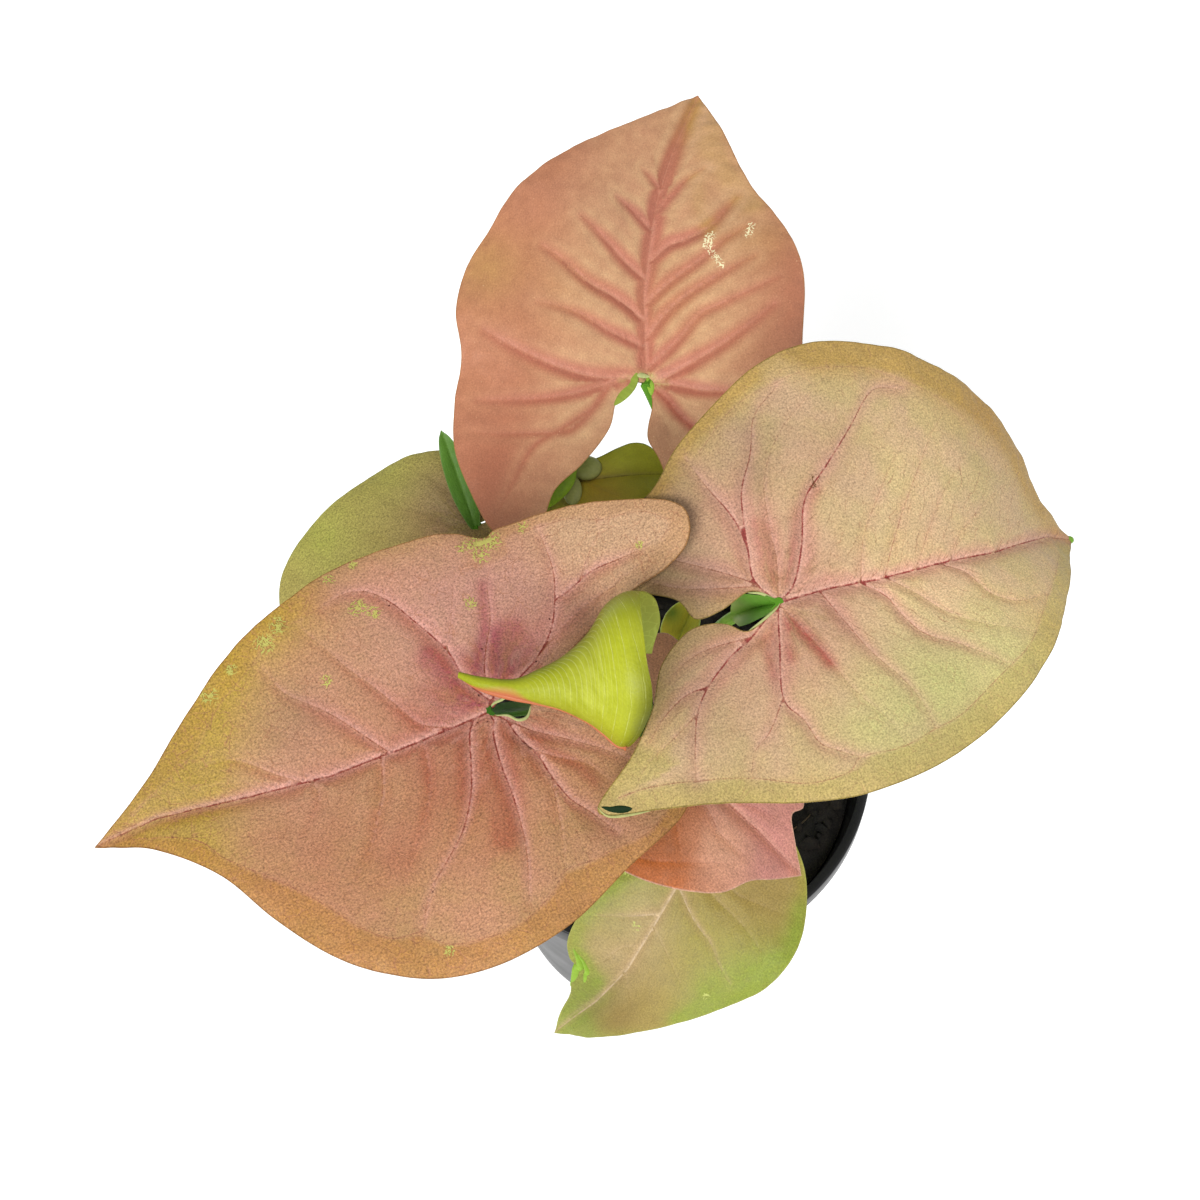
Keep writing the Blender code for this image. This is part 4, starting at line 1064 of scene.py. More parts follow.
def add_nub(form, leaf, slot):
    """The small green point at the tip of the leaf."""
    tip = bend_point(leaf, leaf["left"][-1][0] - 0.6, 0.0)
    verts, faces = ball(tip + np.array([0.0, 0.1, 0.1]), (1.25, 1.05, 0.85))
    form.add(verts, faces, slot, flat=verts, zones=NUB_TINT)


def add_sheath(form, slot):
    """The open sheath and the rounded caps that show beside the back leaf."""
    path = smooth_path(SHEATH_ROUTE, LIP_RINGS)
    swell = np.sin(np.linspace(0.05, math.pi - 0.05, LIP_RINGS)) ** 0.6
    verts, faces = tube_round(path, SHEATH_WIDTH * swell, SHEATH_THICK * swell,
                              np.array([0.3, -0.3, 1.0]), LIP_SIDES)
    form.add(verts, faces, slot, flat=verts, zones=SHEATH_TINT)
    for centre, radii in CAPS:
        verts, faces = ball(centre, radii)
        form.add(verts, faces, slot, flat=verts, zones=CAP_TINT)


def roll_points(along, angle):
    """Places on the rolled leaf: along runs 0 to 1, angle is in degrees round the roll."""
    stations = np.array([(*centre, radius) for centre, radius in ROLL_STATIONS])
    stations[0, 3] = ROLL_TIP_R
    ends = with_ends(stations)
    at = np.clip(along * (len(stations) - 1), 0, len(stations) - 1)
    k = np.minimum(at.astype(int), len(stations) - 2)
    rows = between(ends[k], ends[k + 1], ends[k + 2], ends[k + 3], (at - k)[:, None])
    angles, reach = np.array(ROLL_END[::-1], float).T
    fine = np.linspace(angles[0], angles[-1], 160)
    soft = np.convolve(np.pad(np.interp(fine, angles, reach), 4, mode="edge"),
                       np.ones(9) / 9, mode="valid")
    centre = rows[:, :3].copy()
    centre[:, 0] += np.interp(angle, fine, soft) * along ** ROLL_END_POWER
    a = np.radians(angle)
    ring = np.stack([np.zeros(len(a)), np.cos(a), np.sin(a)], 1)
    return centre + rows[:, 3:4] * ring


def make_rolled_leaf():
    form = Form()
    step = ROLL_STEPS + 1
    share, around = (grid.ravel() for grid in np.meshgrid(
        np.linspace(0, 1, ROLL_ROWS + 1), np.linspace(0, 1, step), indexing="ij"))
    points = roll_points(share, ROLL_ANGLES[0] + (ROLL_ANGLES[1] - ROLL_ANGLES[0]) * around)
    tris = []
    for i in range(ROLL_ROWS):
        for j in range(ROLL_STEPS):
            a = i * step + j
            tris += [(a, a + step, a + step + 1), (a, a + step + 1, a + 1)]
    tris = np.array(tris)
    normals = sheet_normals(points, tris)
    middle = np.array([station[0] for station in ROLL_STATIONS]).mean(axis=0)
    if ((points - middle) * normals).sum() < 0:
        tris = tris[:, ::-1]
        normals = -normals
    wobble = np.array([noise.noise(Vector(p * 0.10)) for p in points])
    widths = np.interp(share, np.linspace(0, 1, len(ROLL_STATIONS)), [s[1] for s in ROLL_STATIONS])
    turn_length = math.radians(abs(ROLL_ANGLES[1] - ROLL_ANGLES[0])) * widths
    front = around * turn_length
    back = (1 - around) * turn_length
    edge = np.minimum(np.minimum(front, back), (1 - share) * ROLL_LENGTH + 0.1)
    points = points + normals * (0.35 * wobble * part(edge))[:, None]
    thin = BLADE_EDGE + (BLADE - BLADE_EDGE) * part(edge / 2) * np.clip(share * 8, 0.2, 1)
    rim_width = 0.55 + 1.6 * falloff(share - 0.24, 0.09) + 0.9 * falloff(share - 1, 0.06)
    rim = part(1.6 - front / rim_width) * part((share - 0.03) * 12)
    # Painted shade on the upper side and at the wide end's lower edge, a painted highlight band on the
    # near side, and a darker painted shadow at the wide end.
    shaded = (0.9 * part((around - 0.42) * 3.2)
              + 0.9 * falloff(share - 1.0, 0.10) * falloff(around - 0.12, 0.22))
    highlight_band = (0.7 * falloff(around - 0.25, 0.14) * part((share - 0.25) * 3)
              * part((0.86 - share) * 6)
              + 0.5 * falloff(share - 0.62, 0.07) * falloff(around - 0.4, 0.1))
    end_shadow = 0.95 * falloff(share - 1.03, 0.09) * falloff(around - 0.20, 0.15)
    form.add_sheet(points, normals, tris, thin[:, None], 0.0, (0, 1),
                   flat=np.stack([share * ROLL_LENGTH, front, around], 1),
                   zones=np.stack([rim, shaded, highlight_band, end_shadow], 1))
    # The lower margin is a soft salmon bead.
    bead = np.linspace(0.02, 0.985, 120)
    path = roll_points(bead, np.full(len(bead), ROLL_ANGLES[0] - 2.0))
    swell = 0.42 + 0.4 * falloff(bead - 0.22, 0.09) + 0.7 * falloff(bead - 0.97, 0.025)
    swell = swell * np.clip(bead * 14, 0.3, 1)
    verts, faces = tube_round(path, 0.75 * swell, swell, np.array([0.0, -0.3, 1.0]), LIP_SIDES)
    form.add(verts, faces, 0, flat=verts, zones=(1, 0, 0, 0))
    joint = roll_points(np.array([ROLL_JOINT[0]]), np.array([ROLL_JOINT[1]]))[0]
    add_stalk(form, {**PLAIN_LEAF, "joint": joint, "lean": ROLL_LEAN, "reach": ROLL_REACH,
                     "foot": ROLL_FOOT, "foot_r": ROLL_FOOT_R}, 2)
    materials = [rolled_material(ROLL_LOOK), under_material("leaf_rolled", ROLL_LOOK), STALK]
    form.build("leaf_rolled_fine", materials, "leaf_rolled")


def wall_radius(height):
    """Outside radius of the plain pot wall."""
    top = LIP_OUT_R - LIP_STEP
    return POT_BASE_R + (top - POT_BASE_R) * height / POT_HEIGHT


def lathe(profile, segments):
    """Turn a closed (radius, height) outline about the vertical axis."""
    verts, faces, rings = [], [], []
    for radius, height in profile:
        count = 1 if radius < 0.001 else segments
        rings.append(list(range(len(verts), len(verts) + count)))
        verts += [(radius * math.cos(a), radius * math.sin(a), height) for a in circle(count)]
    for low, high in zip(rings, rings[1:] + rings[:1]):
        if len(low) == len(high) == 1:
            continue
        for k in range(segments):
            n = (k + 1) % segments
            if len(low) == 1:
                faces.append((low[0], high[k], high[n]))
            elif len(high) == 1:
                faces.append((low[k], low[n], high[0]))
            else:
                faces.append((low[k], low[n], high[n], high[k]))
    return verts, faces


def corner(x, z, radius, start):
    """Points round a quarter turn of the profile, from a start angle in degrees."""
    return [(x + radius * math.cos(a), z + radius * math.sin(a))
            for a in np.radians(np.linspace(start, start + 90, 5))]


def make_pot():
    lip_low = POT_HEIGHT - LIP_DROP
    lip_x = LIP_OUT_R - LIP_ROUND
    lip_z = POT_HEIGHT - LIP_ROUND
    inner_top = wall_radius(POT_HEIGHT) - POT_WALL
    profile = [
        (0.0, 0.0), (20.0, 0.0),
        *corner(POT_BASE_R - BASE_ROUND, BASE_ROUND, BASE_ROUND, -90),
        *[(wall_radius(h), h) for h in np.linspace(6, lip_low - 3, 18)],
        (wall_radius(lip_low), lip_low),
        *corner(lip_x, lip_low + LIP_ROUND, LIP_ROUND, -90),
        (LIP_OUT_R, POT_HEIGHT - LIP_DROP / 2),
        *corner(lip_x, lip_z, LIP_ROUND, 0),
        *corner(inner_top + LIP_ROUND, lip_z, LIP_ROUND, 90),
        *[(wall_radius(h) - POT_WALL, h) for h in np.linspace(100, 4, 18)],
        (wall_radius(POT_FLOOR) - POT_WALL, POT_FLOOR), (0.0, POT_FLOOR)]
    pot = new_item("pot_fine", new_mesh("pot_fine", *lathe(profile, POT_SEGMENTS)))
    group = bpy.data.collections.new("drains")
    bpy.context.scene.collection.children.link(group)
    for k in range(DRAIN_HOLES):
        a = 2 * math.pi * (k + 0.5) / DRAIN_HOLES
        bpy.ops.mesh.primitive_cylinder_add(
            vertices=DRAIN_SIDES, radius=DRAIN_R * MM, depth=0.01,
            location=(DRAIN_RING_R * math.cos(a) * MM, DRAIN_RING_R * math.sin(a) * MM, 0.001))
        cutter = bpy.context.active_object
        for owner in cutter.users_collection:
            owner.objects.unlink(cutter)
        group.objects.link(cutter)
    step = pot.modifiers.new("drains", "BOOLEAN")
    step.operation = "DIFFERENCE"
    step.operand_type = "COLLECTION"
    step.collection = group
    step.solver = "EXACT"
    bpy.context.view_layer.objects.active = pot
    bpy.ops.object.modifier_apply(modifier=step.name)
    for cutter in list(group.objects):
        bpy.data.objects.remove(cutter, do_unlink=True)
    bpy.data.collections.remove(group)
    pot.data.materials.clear()
    pot.data.materials.append(pot_material())
    pot.data.polygons.foreach_set("material_index", [0] * len(pot.data.polygons))
    dress(pot, "pot", 40)


def soil_height(x, y):
    """Gentle uneven surface of the potting mix."""
    ripple = math.sin(0.21 * x + 0.9) * math.cos(0.17 * y - 0.4)
    fine = 0.5 * math.sin(0.43 * x - 0.31 * y + 2.0)
    return SOIL_TOP + SOIL_BUMP * (ripple + fine)


def soil_piece(name, verts, faces, material):
    mesh = new_mesh(name, verts, faces)
    mesh.materials.append(material)
    dress(new_item(name, mesh), "potting_mix", 60)


def make_soil():
    """A crumbly surface with a skirt down the pot's wall."""
    edge = wall_radius(SOIL_EDGE) - SOIL_INSET
    verts = [(0.0, 0.0, soil_height(0, 0))]
    for ring in range(1, SOIL_RINGS + 1):
        r = edge * ring / SOIL_RINGS
        for a in circle(SOIL_SEGMENTS):
            x = r * math.cos(a)
            y = r * math.sin(a)
            crumb = noise.noise(Vector((x * 0.35, y * 0.35, 1.0)))
            crumb += 0.6 * noise.noise(Vector((x * 0.9, y * 0.9, 5.0)))
            z = soil_height(x, y) + SOIL_ROUGH * crumb
            fall = max(0.0, (r / edge - 0.94) / 0.06)
            verts.append((x, y, z * (1 - fall) + (SOIL_EDGE + 0.4 * crumb) * fall))
    floor = SOIL_EDGE - SOIL_SKIRT
    below = wall_radius(floor) - SOIL_INSET
    verts += [(below * math.cos(a), below * math.sin(a), floor) for a in circle(SOIL_SEGMENTS)]
    verts.append((0.0, 0.0, floor))
    last = 1 + SOIL_RINGS * SOIL_SEGMENTS
    pairs = [(k, (k + 1) % SOIL_SEGMENTS) for k in range(SOIL_SEGMENTS)]
    faces = [(0, 1 + k, 1 + n) for k, n in pairs]
    faces += [(a, d, c, b) for a, b, c, d in bands(SOIL_RINGS + 1, SOIL_SEGMENTS, 1)]
    faces += [(last + k, len(verts) - 1, last + n) for k, n in pairs]
    soil_piece("potting_mix_fine", verts, faces,
               soil_material("soil", (0.006, 0.005, 0.004), (0.014, 0.010, 0.007)))


def unit_lump():
    body = bmesh.new()
    bmesh.ops.create_icosphere(body, subdivisions=2, radius=1.0)
    verts = np.array([v.co for v in body.verts])
    faces = [[v.index for v in f.verts] for f in body.faces]
    body.free()
    return verts, faces


def scatter(name, count, sizes, squash, rough, seed, material):
    """Small rough pieces pressed into the surface, as one mesh."""
    rng = np.random.default_rng(seed)
    lump, lump_faces = unit_lump()
    feet = [(*leaf["foot"], leaf["foot_r"]) for leaf in LEAVES.values()]
    feet.append((*ROLL_FOOT, ROLL_FOOT_R))
    limit = wall_radius(SOIL_EDGE) - SOIL_INSET - sizes[1]
    verts, faces = [], []
    while len(verts) < count * len(lump):
        a = rng.uniform(0, 2 * math.pi)
        r = limit * math.sqrt(rng.uniform(0, 1))
        x = r * math.cos(a)
        y = r * math.sin(a)
        size = sizes[0] + (sizes[1] - sizes[0]) * rng.uniform(0, 1) ** 2
        if any(math.hypot(x - fx, y - fy) < fr + size for fx, fy, fr in feet):
            continue
        shape = lump * (1 + rough * rng.uniform(-1, 1, (len(lump), 1)))
        shape = shape * np.array([1.0, rng.uniform(*squash), rng.uniform(*squash)])
        spin = turn((0, 0, 1), rng.uniform(0, 6.28)) @ turn((1, 0, 0), rng.uniform(-0.7, 0.7))
        shape = shape @ spin.T * size + np.array([x, y, soil_height(x, y) + 0.35 * size])
        faces += [[i + len(verts) for i in f] for f in lump_faces]
        verts += shape.tolist()
    soil_piece(name, verts, faces, material)


def make_fibres(count, seed, material):
    """Thin dry fibres lying on the potting mix."""
    rng = np.random.default_rng(seed)
    verts, faces = [], []
    for _ in range(count):
        a = rng.uniform(0, 2 * math.pi)
        r = FIBRE_AREA_R * math.sqrt(rng.uniform(0, 1))
        heading = rng.uniform(0, 2 * math.pi)
        length = rng.uniform(5, 14)
        bend = rng.uniform(-0.12, 0.12)
        x, y = r * math.cos(a), r * math.sin(a)
        path = []
        for k in range(FIBRE_STEPS):
            path.append((x, y, soil_height(x, y) + 0.9 + 0.5 * math.sin(k * 0.6 + a)))
            heading += bend
            x += math.cos(heading) * length / FIBRE_STEPS
            y += math.sin(heading) * length / FIBRE_STEPS
            if math.hypot(x, y) > FIBRE_LIMIT_R:
                break
        if len(path) < 4:
            continue
        thick = [0.22 * math.sin(math.pi * (i + 0.6) / (len(path) + 0.2)) + 0.05
                 for i in range(len(path))]
        tube, tube_sides = tube_round(path, thick, thick, (0, 0, 1), FIBRE_SIDES)
        faces += [[i + len(verts) for i in f] for f in tube_sides]
        verts += tube.tolist()
    soil_piece("fibres", verts, faces, material)


class Value:
    """A value that varies over a surface: sums and products of it become nodes."""

    def __init__(self, paint, socket):
        self.paint = paint
        self.socket = socket

    def __add__(self, other):
        return self.paint.math("ADD", self, other)

    def __sub__(self, other):
        return self.paint.math("SUBTRACT", self, other)

    def __mul__(self, other):
        return self.paint.math("MULTIPLY", self, other)

    def clamped(self):
        """Hold the value between 0 and 1."""
        self.socket.node.use_clamp = True
        return self


class Paint:
    """Builds one procedural material, colour over colour."""

    def __init__(self, name, rough, look=None):
        self.material = bpy.data.materials.new(name)
        self.material.use_nodes = True
        self.nodes = self.material.node_tree.nodes
        self.shader = self.nodes["Principled BSDF"]
        self.put(self.shader, {"Roughness": rough})
        self.look = look
        self.colour = None

    def put(self, node, given):
        """Set or link some inputs of a node."""
        for key, value in given.items():
            socket = node.inputs[key]
            if isinstance(value, Value):
                self.material.node_tree.links.new(value.socket, socket)
            elif isinstance(value, tuple) and len(value) == 3 and socket.type == "RGBA":
                socket.default_value = (*value, 1.0)
            else:
                socket.default_value = value

    def node(self, kind, given, output=0, **settings):
        """Add a node and return one of its outputs."""
        node = self.nodes.new("ShaderNode" + kind)
        for key, value in settings.items():
            setattr(node, key, value)
        self.put(node, given)
        return Value(self, node.outputs[output])

    def mask(self, name, output="Vector"):
        return self.node("Attribute", {}, output, attribute_name=name)

    def math(self, operation, a, b=0.0):
        return self.node("Math", {0: a, 1: b}, operation=operation)

    def span(self, value, low, high, to_low=0.0, to_high=1.0):
        return self.node("MapRange", {
            "Value": value, "From Min": low, "From Max": high, "To Min": to_low,
            "To Max": to_high}, interpolation_type="SMOOTHSTEP")

    def mix(self, share, a, b, blend="MIX"):
        return self.node("Mix", {0: share, 6: a, 7: b}, 2, data_type="RGBA", blend_type=blend)

    def over(self, share, tint):
        """Lay a tint over the colour so far: a name in the look, or a colour."""
        tint = self.look[tint] if isinstance(tint, str) else tint
        self.colour = self.mix(share, self.colour, tint)

    def shaded(self, level):
        """Make the colour so far darker or brighter."""
        grey = self.node("CombineColor", {0: level, 1: level, 2: level})
        self.colour = self.mix(1.0, self.colour, grey, "MULTIPLY")

    def noise(self, vector, scale, detail=2.0, rough=0.5, output="Fac"):
        return self.node("TexNoise", {
            "Vector": vector, "Scale": scale, "Detail": detail, "Roughness": rough}, output)

    def voronoi(self, vector, scale, feature="DISTANCE_TO_EDGE"):
        return self.node("TexVoronoi", {"Vector": vector, "Scale": scale}, "Distance",
                         feature=feature)

    def vector(self, operation, a, b):
        return self.node("VectorMath", {0: a, 1: b}, operation=operation)

    def flattened(self, vector, size=1.0):
        return self.vector("MULTIPLY", vector, (size, size, 0.0))

    def split(self, vector, kind="SeparateXYZ"):
        first = self.node(kind, {0: vector})
        return [Value(self, output) for output in first.socket.node.outputs]

    def split_mask(self, name):
        """The three colour channels of a mask, and its fourth."""
        return (*self.split(self.mask(name, "Color"), "SeparateColor"), self.mask(name, "Alpha"))

    def finish(self, sheen=None, bump=None, depth=0.0001, strength=0.4, rough=None):
        self.put(self.shader, {"Base Color": self.colour})
        if bump is not None:
            given = {"Distance": depth, "Strength": strength, "Height": bump}
            self.put(self.shader, {"Normal": self.node("Bump", given, "Normal")})
        if rough is not None:
            self.put(self.shader, {"Roughness": rough})
        if sheen is not None:
            self.put(self.shader, {"Specular IOR Level": sheen})
        return self.material


def leaf_material(name, look):
    """Upper face: ground colour, colour zones, vein lines, fine net, grain, rim and flecks, with
    painted shade and highlights on the vein slopes and panel crests and the painted light and shade of
    the light blots.
    """
    p = Paint(name + "_upper", look["rough"], look)
    x, w, panel = p.split(p.mask("flat"))
    flat = p.flattened(p.mask("flat"))
    gap, force, edge = p.split(p.mask("marks"))
    halo, band, fleck, slope_light = p.split_mask("extra")
    pink, olive, accent, deep = p.split_mask("zones")
    wash = p.split(p.mask("more"))[0]
    cloud = p.noise(flat, 0.075, 3.0)
    patch = p.noise(flat, 0.26, 4.0, 0.6)
    fine = p.noise(flat, 1.1, 3.0, 0.7)
    dots = p.noise(flat, 2.3, 2.0, 0.7)
    p.colour = p.mix(p.span(cloud, 0.35, 0.65), look["base"], look["warm"])
    uneven = patch * 1.1 + 0.45
    for share, tint in ((deep, "deep"), (pink, "pink"), (olive, "olive"), (wash, "wash"),
                        (accent, "accent")):
        if tint in look:
            p.over((share * uneven).clamped(), tint)
    # Streaks fan out from the joint.
    away = p.math("SQRT", x * x + w * w)
    fan = p.node("CombineXYZ", {0: p.math("ARCTAN2", w, x) * 2.6, 1: away * 0.09})
    streak = p.noise(fan, 1.6, 4.0, 0.6)
    near = p.span(away, 4.0, look["streak_reach"], look["streaks"], 0.0)
    p.over(p.span(streak, 0.46, 0.62) * near, "deep")
    p.over(p.span(streak, 0.46, 0.32) * near * 0.7, "halo")
    beside = p.math("ABSOLUTE", w)
    # A painted highlight on the crest of each raised panel between the veins.
    crest_highlight = p.span(panel, 0.55, 1.0) * look["crest_amount"] * p.span(panel, 1.0, 0.86, 0.55, 1.0)
    p.over((crest_highlight * p.span(beside, 34.0, 14.0, 0.25, 1.0) * uneven).clamped(), "crest_highlight")
    p.over((band * (patch + 0.5)).clamped(), "margin")
    # Painted shade on one slope of each vein and a painted highlight on the other, as if lit from
    # LIGHT_ANGLE.
    shade = p.span(slope_light, 0.5, 0.12) * (uneven * look["shade"])
    p.over(p.math("MINIMUM", shade, 1.0), "deep")
    p.over(p.span(slope_light, 0.5, 0.88) * look["shine"], "halo")
    p.over((halo * look["halo_amount"]).clamped(), "halo")
    bent = p.vector("ADD", flat, p.flattened(p.noise(flat, 0.5, output="Color"), 1.4))
    lines = p.span(p.voronoi(bent, 0.30), 0.0, 0.045, 1.0, 0.0)
    small_lines = p.span(p.voronoi(bent, 0.85), 0.0, 0.10, 1.0, 0.0)
    veil = (p.math("MAXIMUM", lines * 0.9, small_lines * 0.45)
            * (p.span(patch, 0.40, 0.60) * look["net_amount"]))
    p.over(veil, "net")
    # Faint parallel side veins, and short ticks beside the midrib.
    slant = x - beside * 0.75 + cloud * 14.0 + patch * 2.5
    side_vein = p.span(p.math("PINGPONG", slant, 2.3), 0.02, 0.16, 1.0, 0.0)
    side_vein = side_vein * p.span(x, 2.0, 14.0, 0.0, look["side_veins"])
    side_vein = side_vein * p.span(patch, 0.42, 0.58, 0.3, 1.0) * p.span(beside, 34.0, 16.0)
    p.over(side_vein, "net")
    if look["ticks"] > 0:
        slant = x - beside * 1.2 + patch * 3.0
        tick = p.span(p.math("PINGPONG", slant, 1.5), 0.02, 0.15, 1.0, 0.0)
        tick = tick * p.span(beside, 0.5, 2.8, 1.0, 0.0) * p.span(x, 2.0, 6.0, 0.0, look["ticks"])
        p.over(tick, tuple(0.5 * (a + b) for a, b in zip(look["vein"], look["net"])))
    # A painted highlight: a pale line beside each vein, on the slope that faces the light.
    pale = p.span(gap, 0.95, 0.25) * p.span(slope_light, 0.47, 0.60)
    pale = (pale * force).clamped() * look["line"]
    p.over((pale * 0.55).clamped(), tuple(1.12 * c + 0.04 for c in look["halo"]))
    ragged = gap + (dots - 0.5) * 0.26
    width = force * 0.15 + 0.08
    line = p.span(ragged, width * 0.3, width * 1.6, 1.0, 0.0) * p.span(force, 0.1, 0.8, 0.35, 1.0)
    line = line * p.span(p.noise(flat, 0.42, 3.0), 0.38, 0.58, 0.40, 1.0)
    tint = p.mix(p.span(force, 0.25, 0.8), look["net"], look["vein"])
    p.over((line * look["line"]).clamped(), tint)
    p.over(p.span(edge + fine * 0.25, 0.22, 0.50, 0.8, 0.0), "rim")
    # Grain, and the painted light and shade of the light blots, carried in the fourth value of marks.
    grain = look["grain"]
    level = (dots - 0.5) * (2.0 * grain) + 1.0
    level = level + (fine - 0.5) * (0.9 * grain) + (patch - 0.5) * 0.34
    p.shaded(level * p.mask("marks", "Alpha"))
    rosy = p.noise(p.vector("ADD", flat, (40.0, 9.0, 0.0)), 1.7, 2.0, 0.6)
    p.over(p.span(rosy, 0.52, 0.72, 0.0, 0.08 * grain), "pink")
    p.over(p.span(rosy, 0.46, 0.30, 0.0, 0.06 * grain), "olive")
    squiggle = p.math("ABSOLUTE", p.noise(flat, 0.8) - 0.5)
    torn = fleck + (dots - 0.5) * 0.8
    brown = p.span(squiggle, 0.09, 0.05) * p.span(torn, 0.25, 0.45)
    p.over(brown * min(0.75, look["specks"]), FLECK_BROWN)
    spot = p.span(squiggle, 0.05, 0.025) * p.span(torn, 0.10, 0.35)
    p.over(p.math("MAXIMUM", spot, p.span(torn, 0.80, 0.95)) * 0.9, "fleck")
    if look["specks"] > 0:
        stirred = p.vector("ADD", flat, p.flattened(p.noise(flat, 2.0, output="Color"), 0.5))
        spots = p.voronoi(stirred, 0.5, "F1")
        tints = Value(p, spots.socket.node.outputs["Color"])
        keep = p.span(p.split(tints, "SeparateColor")[0], 0.80, 0.81)
        dot = p.span(spots, 0.09, 0.14, 1.0, 0.0) * keep
        near = (halo * 1.5 + 0.2).clamped()
        p.over((dot * (near * look["specks"])).clamped(), SPECK_TINT)
    bump = fine * 0.8 + dots * 0.8 - veil * 0.8 - side_vein * 0.8
    return p.finish(SHEEN, bump, 0.00016, 0.65, fine * 0.18 + (look["rough"] - 0.08))


def rolled_material(look):
    """Outer face of the rolled leaf: pale lines run round the roll and close up at its neck, with
    painted shade, a painted highlight band and a painted shadow at the wide end.
    """
    p = Paint("leaf_rolled_upper", look["rough"], look)
    x, around = p.split(p.mask("flat"))[::2]
    flat = p.flattened(p.mask("flat"))
    rim, shaded, highlight_band, end_shadow = p.split_mask("zones")
    cloud = p.noise(flat, 0.10, 3.0)
    patch = p.noise(flat, 0.35, 3.0)
    fine = p.noise(flat, 1.6, 3.0, 0.7)
    p.colour = p.mix(p.span(cloud, 0.35, 0.65), look["base"], look["warm"])
    # Painted shade, and a painted highlight band.
    p.over(shaded * 0.9, "deep")
    p.over((highlight_band * p.span(patch, 0.25, 0.7)).clamped(), "halo")
    lean = p.math("MAXIMUM", around - 0.25, 0.0)
    drift = x + patch * 0.3 + lean * lean * 34.0
    close = p.span(p.math("PINGPONG", drift, 0.52), 0.0, 0.17, 1.0, 0.0)
    close = close * p.span(x, 10.0, 16.0) * p.span(x, 34.0, 24.0, 0.10, 0.55)
    close = close * p.span(around, 0.08, 0.36, 0.15, 1.0)
    p.over(close, "vein")
    wide = p.span(p.math("PINGPONG", drift + cloud * 1.5, 1.45), 0.02, 0.17, 1.0, 0.0)
    wide = wide * p.span(x, 22.0, 29.0, 0.0, 0.85) * p.span(patch, 0.40, 0.58, 0.15, 0.7)
    p.over(wide, "vein")
    p.shaded((fine * 0.42 + 0.70 + patch * 0.18) * p.span(x, 16.0, 32.0, 0.88, 1.06))
    # Painted shadow at the wide end.
    p.over(end_shadow, (0.050, 0.052, 0.003))
    p.over(rim, "pink")
    return p.finish(SHEEN, fine - (wide * 1.5 + close), 0.00015, 0.6, fine * 0.2 + 0.30)


def under_material(name, look):
    """Lower face: duller, with paler veins."""
    p = Paint(name + "_under", 0.6)
    flat = p.flattened(p.mask("flat"))
    gap, force = p.split(p.mask("marks"))[:2]
    fine = p.noise(flat, 1.8, 3.0)
    under = look["under"]
    pale = tuple(min(1.0, 1.35 * c + 0.03) for c in under)
    p.colour = p.mix(p.noise(flat, 0.2, 3.0), tuple(0.85 * c for c in under), under)
    p.over(p.span(p.voronoi(flat, 0.4), 0.0, 0.06, 0.3, 0.0), pale)
    p.over((p.span(gap, 0.1, 0.6, 1.0, 0.0) * force).clamped() * 0.8, pale)
    p.shaded(fine * 0.2 + 0.9)
    return p.finish(SHEEN, fine)


def fold_material():
    """Green folded margins: the zones give the colour itself."""
    p = Paint("folded_margin", 0.45)
    dots = p.noise(p.mask("flat"), 4.0)
    p.colour = p.mask("zones", "Color")
    p.shaded(p.noise(p.mask("flat"), 1.2, 3.0) * 0.5 + 0.68 + dots * 0.14)
    return p.finish(SHEEN, dots)


def stalk_material():
    p = Paint("stalk", 0.50)
    flat = p.mask("flat")
    share, wing, shaded = p.split(p.mask("zones", "Color"), "SeparateColor")
    streaks = p.noise(p.vector("MULTIPLY", flat, (2.2, 0.12, 1.0)), 1.0, 3.0)
    p.colour = p.mix(share, (0.13, 0.22, 0.03), (0.17, 0.34, 0.04))
    p.over(p.span(streaks, 0.35, 0.7, 0.0, 0.55), (0.28, 0.40, 0.09))
    p.over(p.span(share, 0.10, 0.0, 0.0, 0.6), (0.26, 0.20, 0.08))
    p.over(wing * 0.5, (0.36, 0.46, 0.14))
    p.over(p.span(share, 0.82, 0.95, 0.0, 0.85), (0.055, 0.185, 0.010))
    p.over(shaded, (0.010, 0.045, 0.004))
    rough = p.noise(flat, 2.5) * 0.18 + 0.42
    return p.finish(STALK_SHEEN, streaks, 0.00015, 0.5, rough)


def pot_material():
    p = Paint("pot_plastic_black", 0.38)
    place = p.node("TexCoord", {}, "Object")
    cloud = p.noise(place, 60.0, 4.0)
    scuffs = p.noise(p.vector("MULTIPLY", place, (40.0, 40.0, 900.0)), 1.0, 4.0)
    p.colour = p.mix(cloud, (0.008, 0.008, 0.009), (0.016, 0.016, 0.017))
    p.over(p.span(scuffs, 0.60, 0.75, 0.0, 0.35), (0.035, 0.034, 0.032))
    return p.finish(POT_SHEEN, p.noise(place, 1400.0), 0.00004, 0.4, cloud * 0.24 + 0.24)


def soil_material(name, dark, light):
    p = Paint(name, 0.92)
    place = p.node("TexCoord", {}, "Object")
    fine = p.noise(place, 1300.0, 3.0)
    p.colour = p.mix(p.span(p.noise(place, 220.0, 4.0), 0.35, 0.68), dark, light)
    p.over(p.span(fine, 0.62, 0.75, 0.0, 0.5), tuple(2.2 * c for c in light))
    return p.finish(None, fine, 0.0005, 0.8)


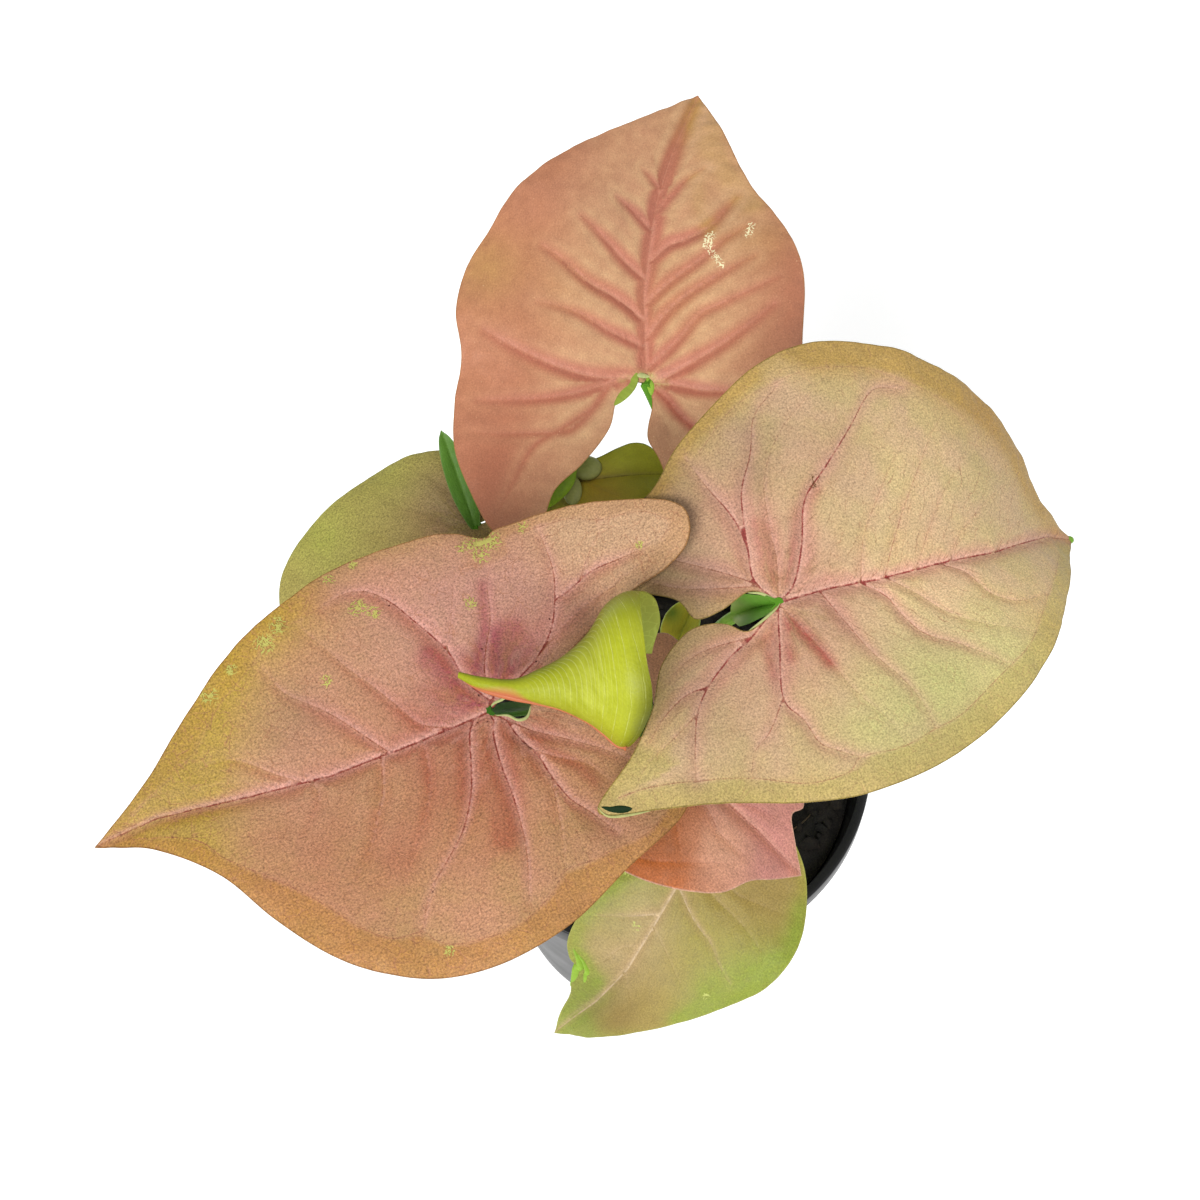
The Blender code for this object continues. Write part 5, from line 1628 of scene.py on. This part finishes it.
def make_stage():
    """White floor, white surroundings and two soft lights."""
    bpy.ops.mesh.primitive_plane_add(size=FLOOR_SIZE, location=(0, 0, -FLOOR_DROP))
    floor = bpy.context.active_object
    floor.name = "floor"
    p = Paint("floor_white", 0.8)
    p.put(p.shader, {"Emission Strength": FLOOR_GLOW})
    mottle = p.noise(p.node("TexCoord", {}, "Object"), 3.0)
    p.colour = p.mix(mottle, (0.93, 0.93, 0.93), (0.96, 0.96, 0.96))
    floor.data.materials.append(p.finish())
    world = bpy.data.worlds.new("studio")
    bpy.context.scene.world = world
    world.use_nodes = True
    back = world.node_tree.nodes["Background"]
    back.inputs["Color"].default_value = (1.0, 1.0, 1.0, 1.0)
    back.inputs["Strength"].default_value = BACKDROP_GLOW
    add_light("key", at=(-1.05, -2.45, 2.45), size=1.7, power=140.0)
    add_light("fill", at=(1.6, 0.6, 2.8), size=2.4, power=26.0)
    bpy.context.scene.view_settings.view_transform = "Standard"


def add_light(name, at, size, power):
    light = bpy.data.lights.new(name, "AREA")
    light.shape = "DISK"
    light.size = size
    light.energy = power
    item = new_item(name, light)
    item.location = at
    aim = Vector((0, 0, 0.2)) - Vector(at)
    item.rotation_euler = aim.to_track_quat("-Z", "Y").to_euler()


def make_camera():
    data = bpy.data.cameras.new("camera")
    data.sensor_width = SENSOR
    data.lens = LENS
    data.clip_start = 0.02
    data.clip_end = 20.0
    camera = new_item("camera", data)
    camera.location = [v * MM for v in CAMERA_AT]
    camera.rotation_euler = (math.radians(CAMERA_TILT), 0.0, 0.0)
    bpy.context.scene.camera = camera


STALK = stalk_material()
FOLD = fold_material()
make_camera()
make_stage()
make_pot()
make_soil()
scatter("crumbs", count=620, sizes=(0.8, 2.8), squash=(0.45, 0.9), rough=0.22, seed=3,
        material=soil_material("crumb", (0.005, 0.004, 0.003), (0.020, 0.013, 0.008)))
scatter("perlite", count=95, sizes=(0.6, 1.7), squash=(0.7, 1.0), rough=0.16, seed=5,
        material=soil_material("perlite", (0.10, 0.10, 0.055), (0.20, 0.19, 0.12)))
make_fibres(count=46, seed=11,
            material=soil_material("fibre", (0.05, 0.035, 0.018), (0.09, 0.06, 0.03)))
for leaf_name in LEAVES:
    make_leaf(leaf_name)
make_rolled_leaf()
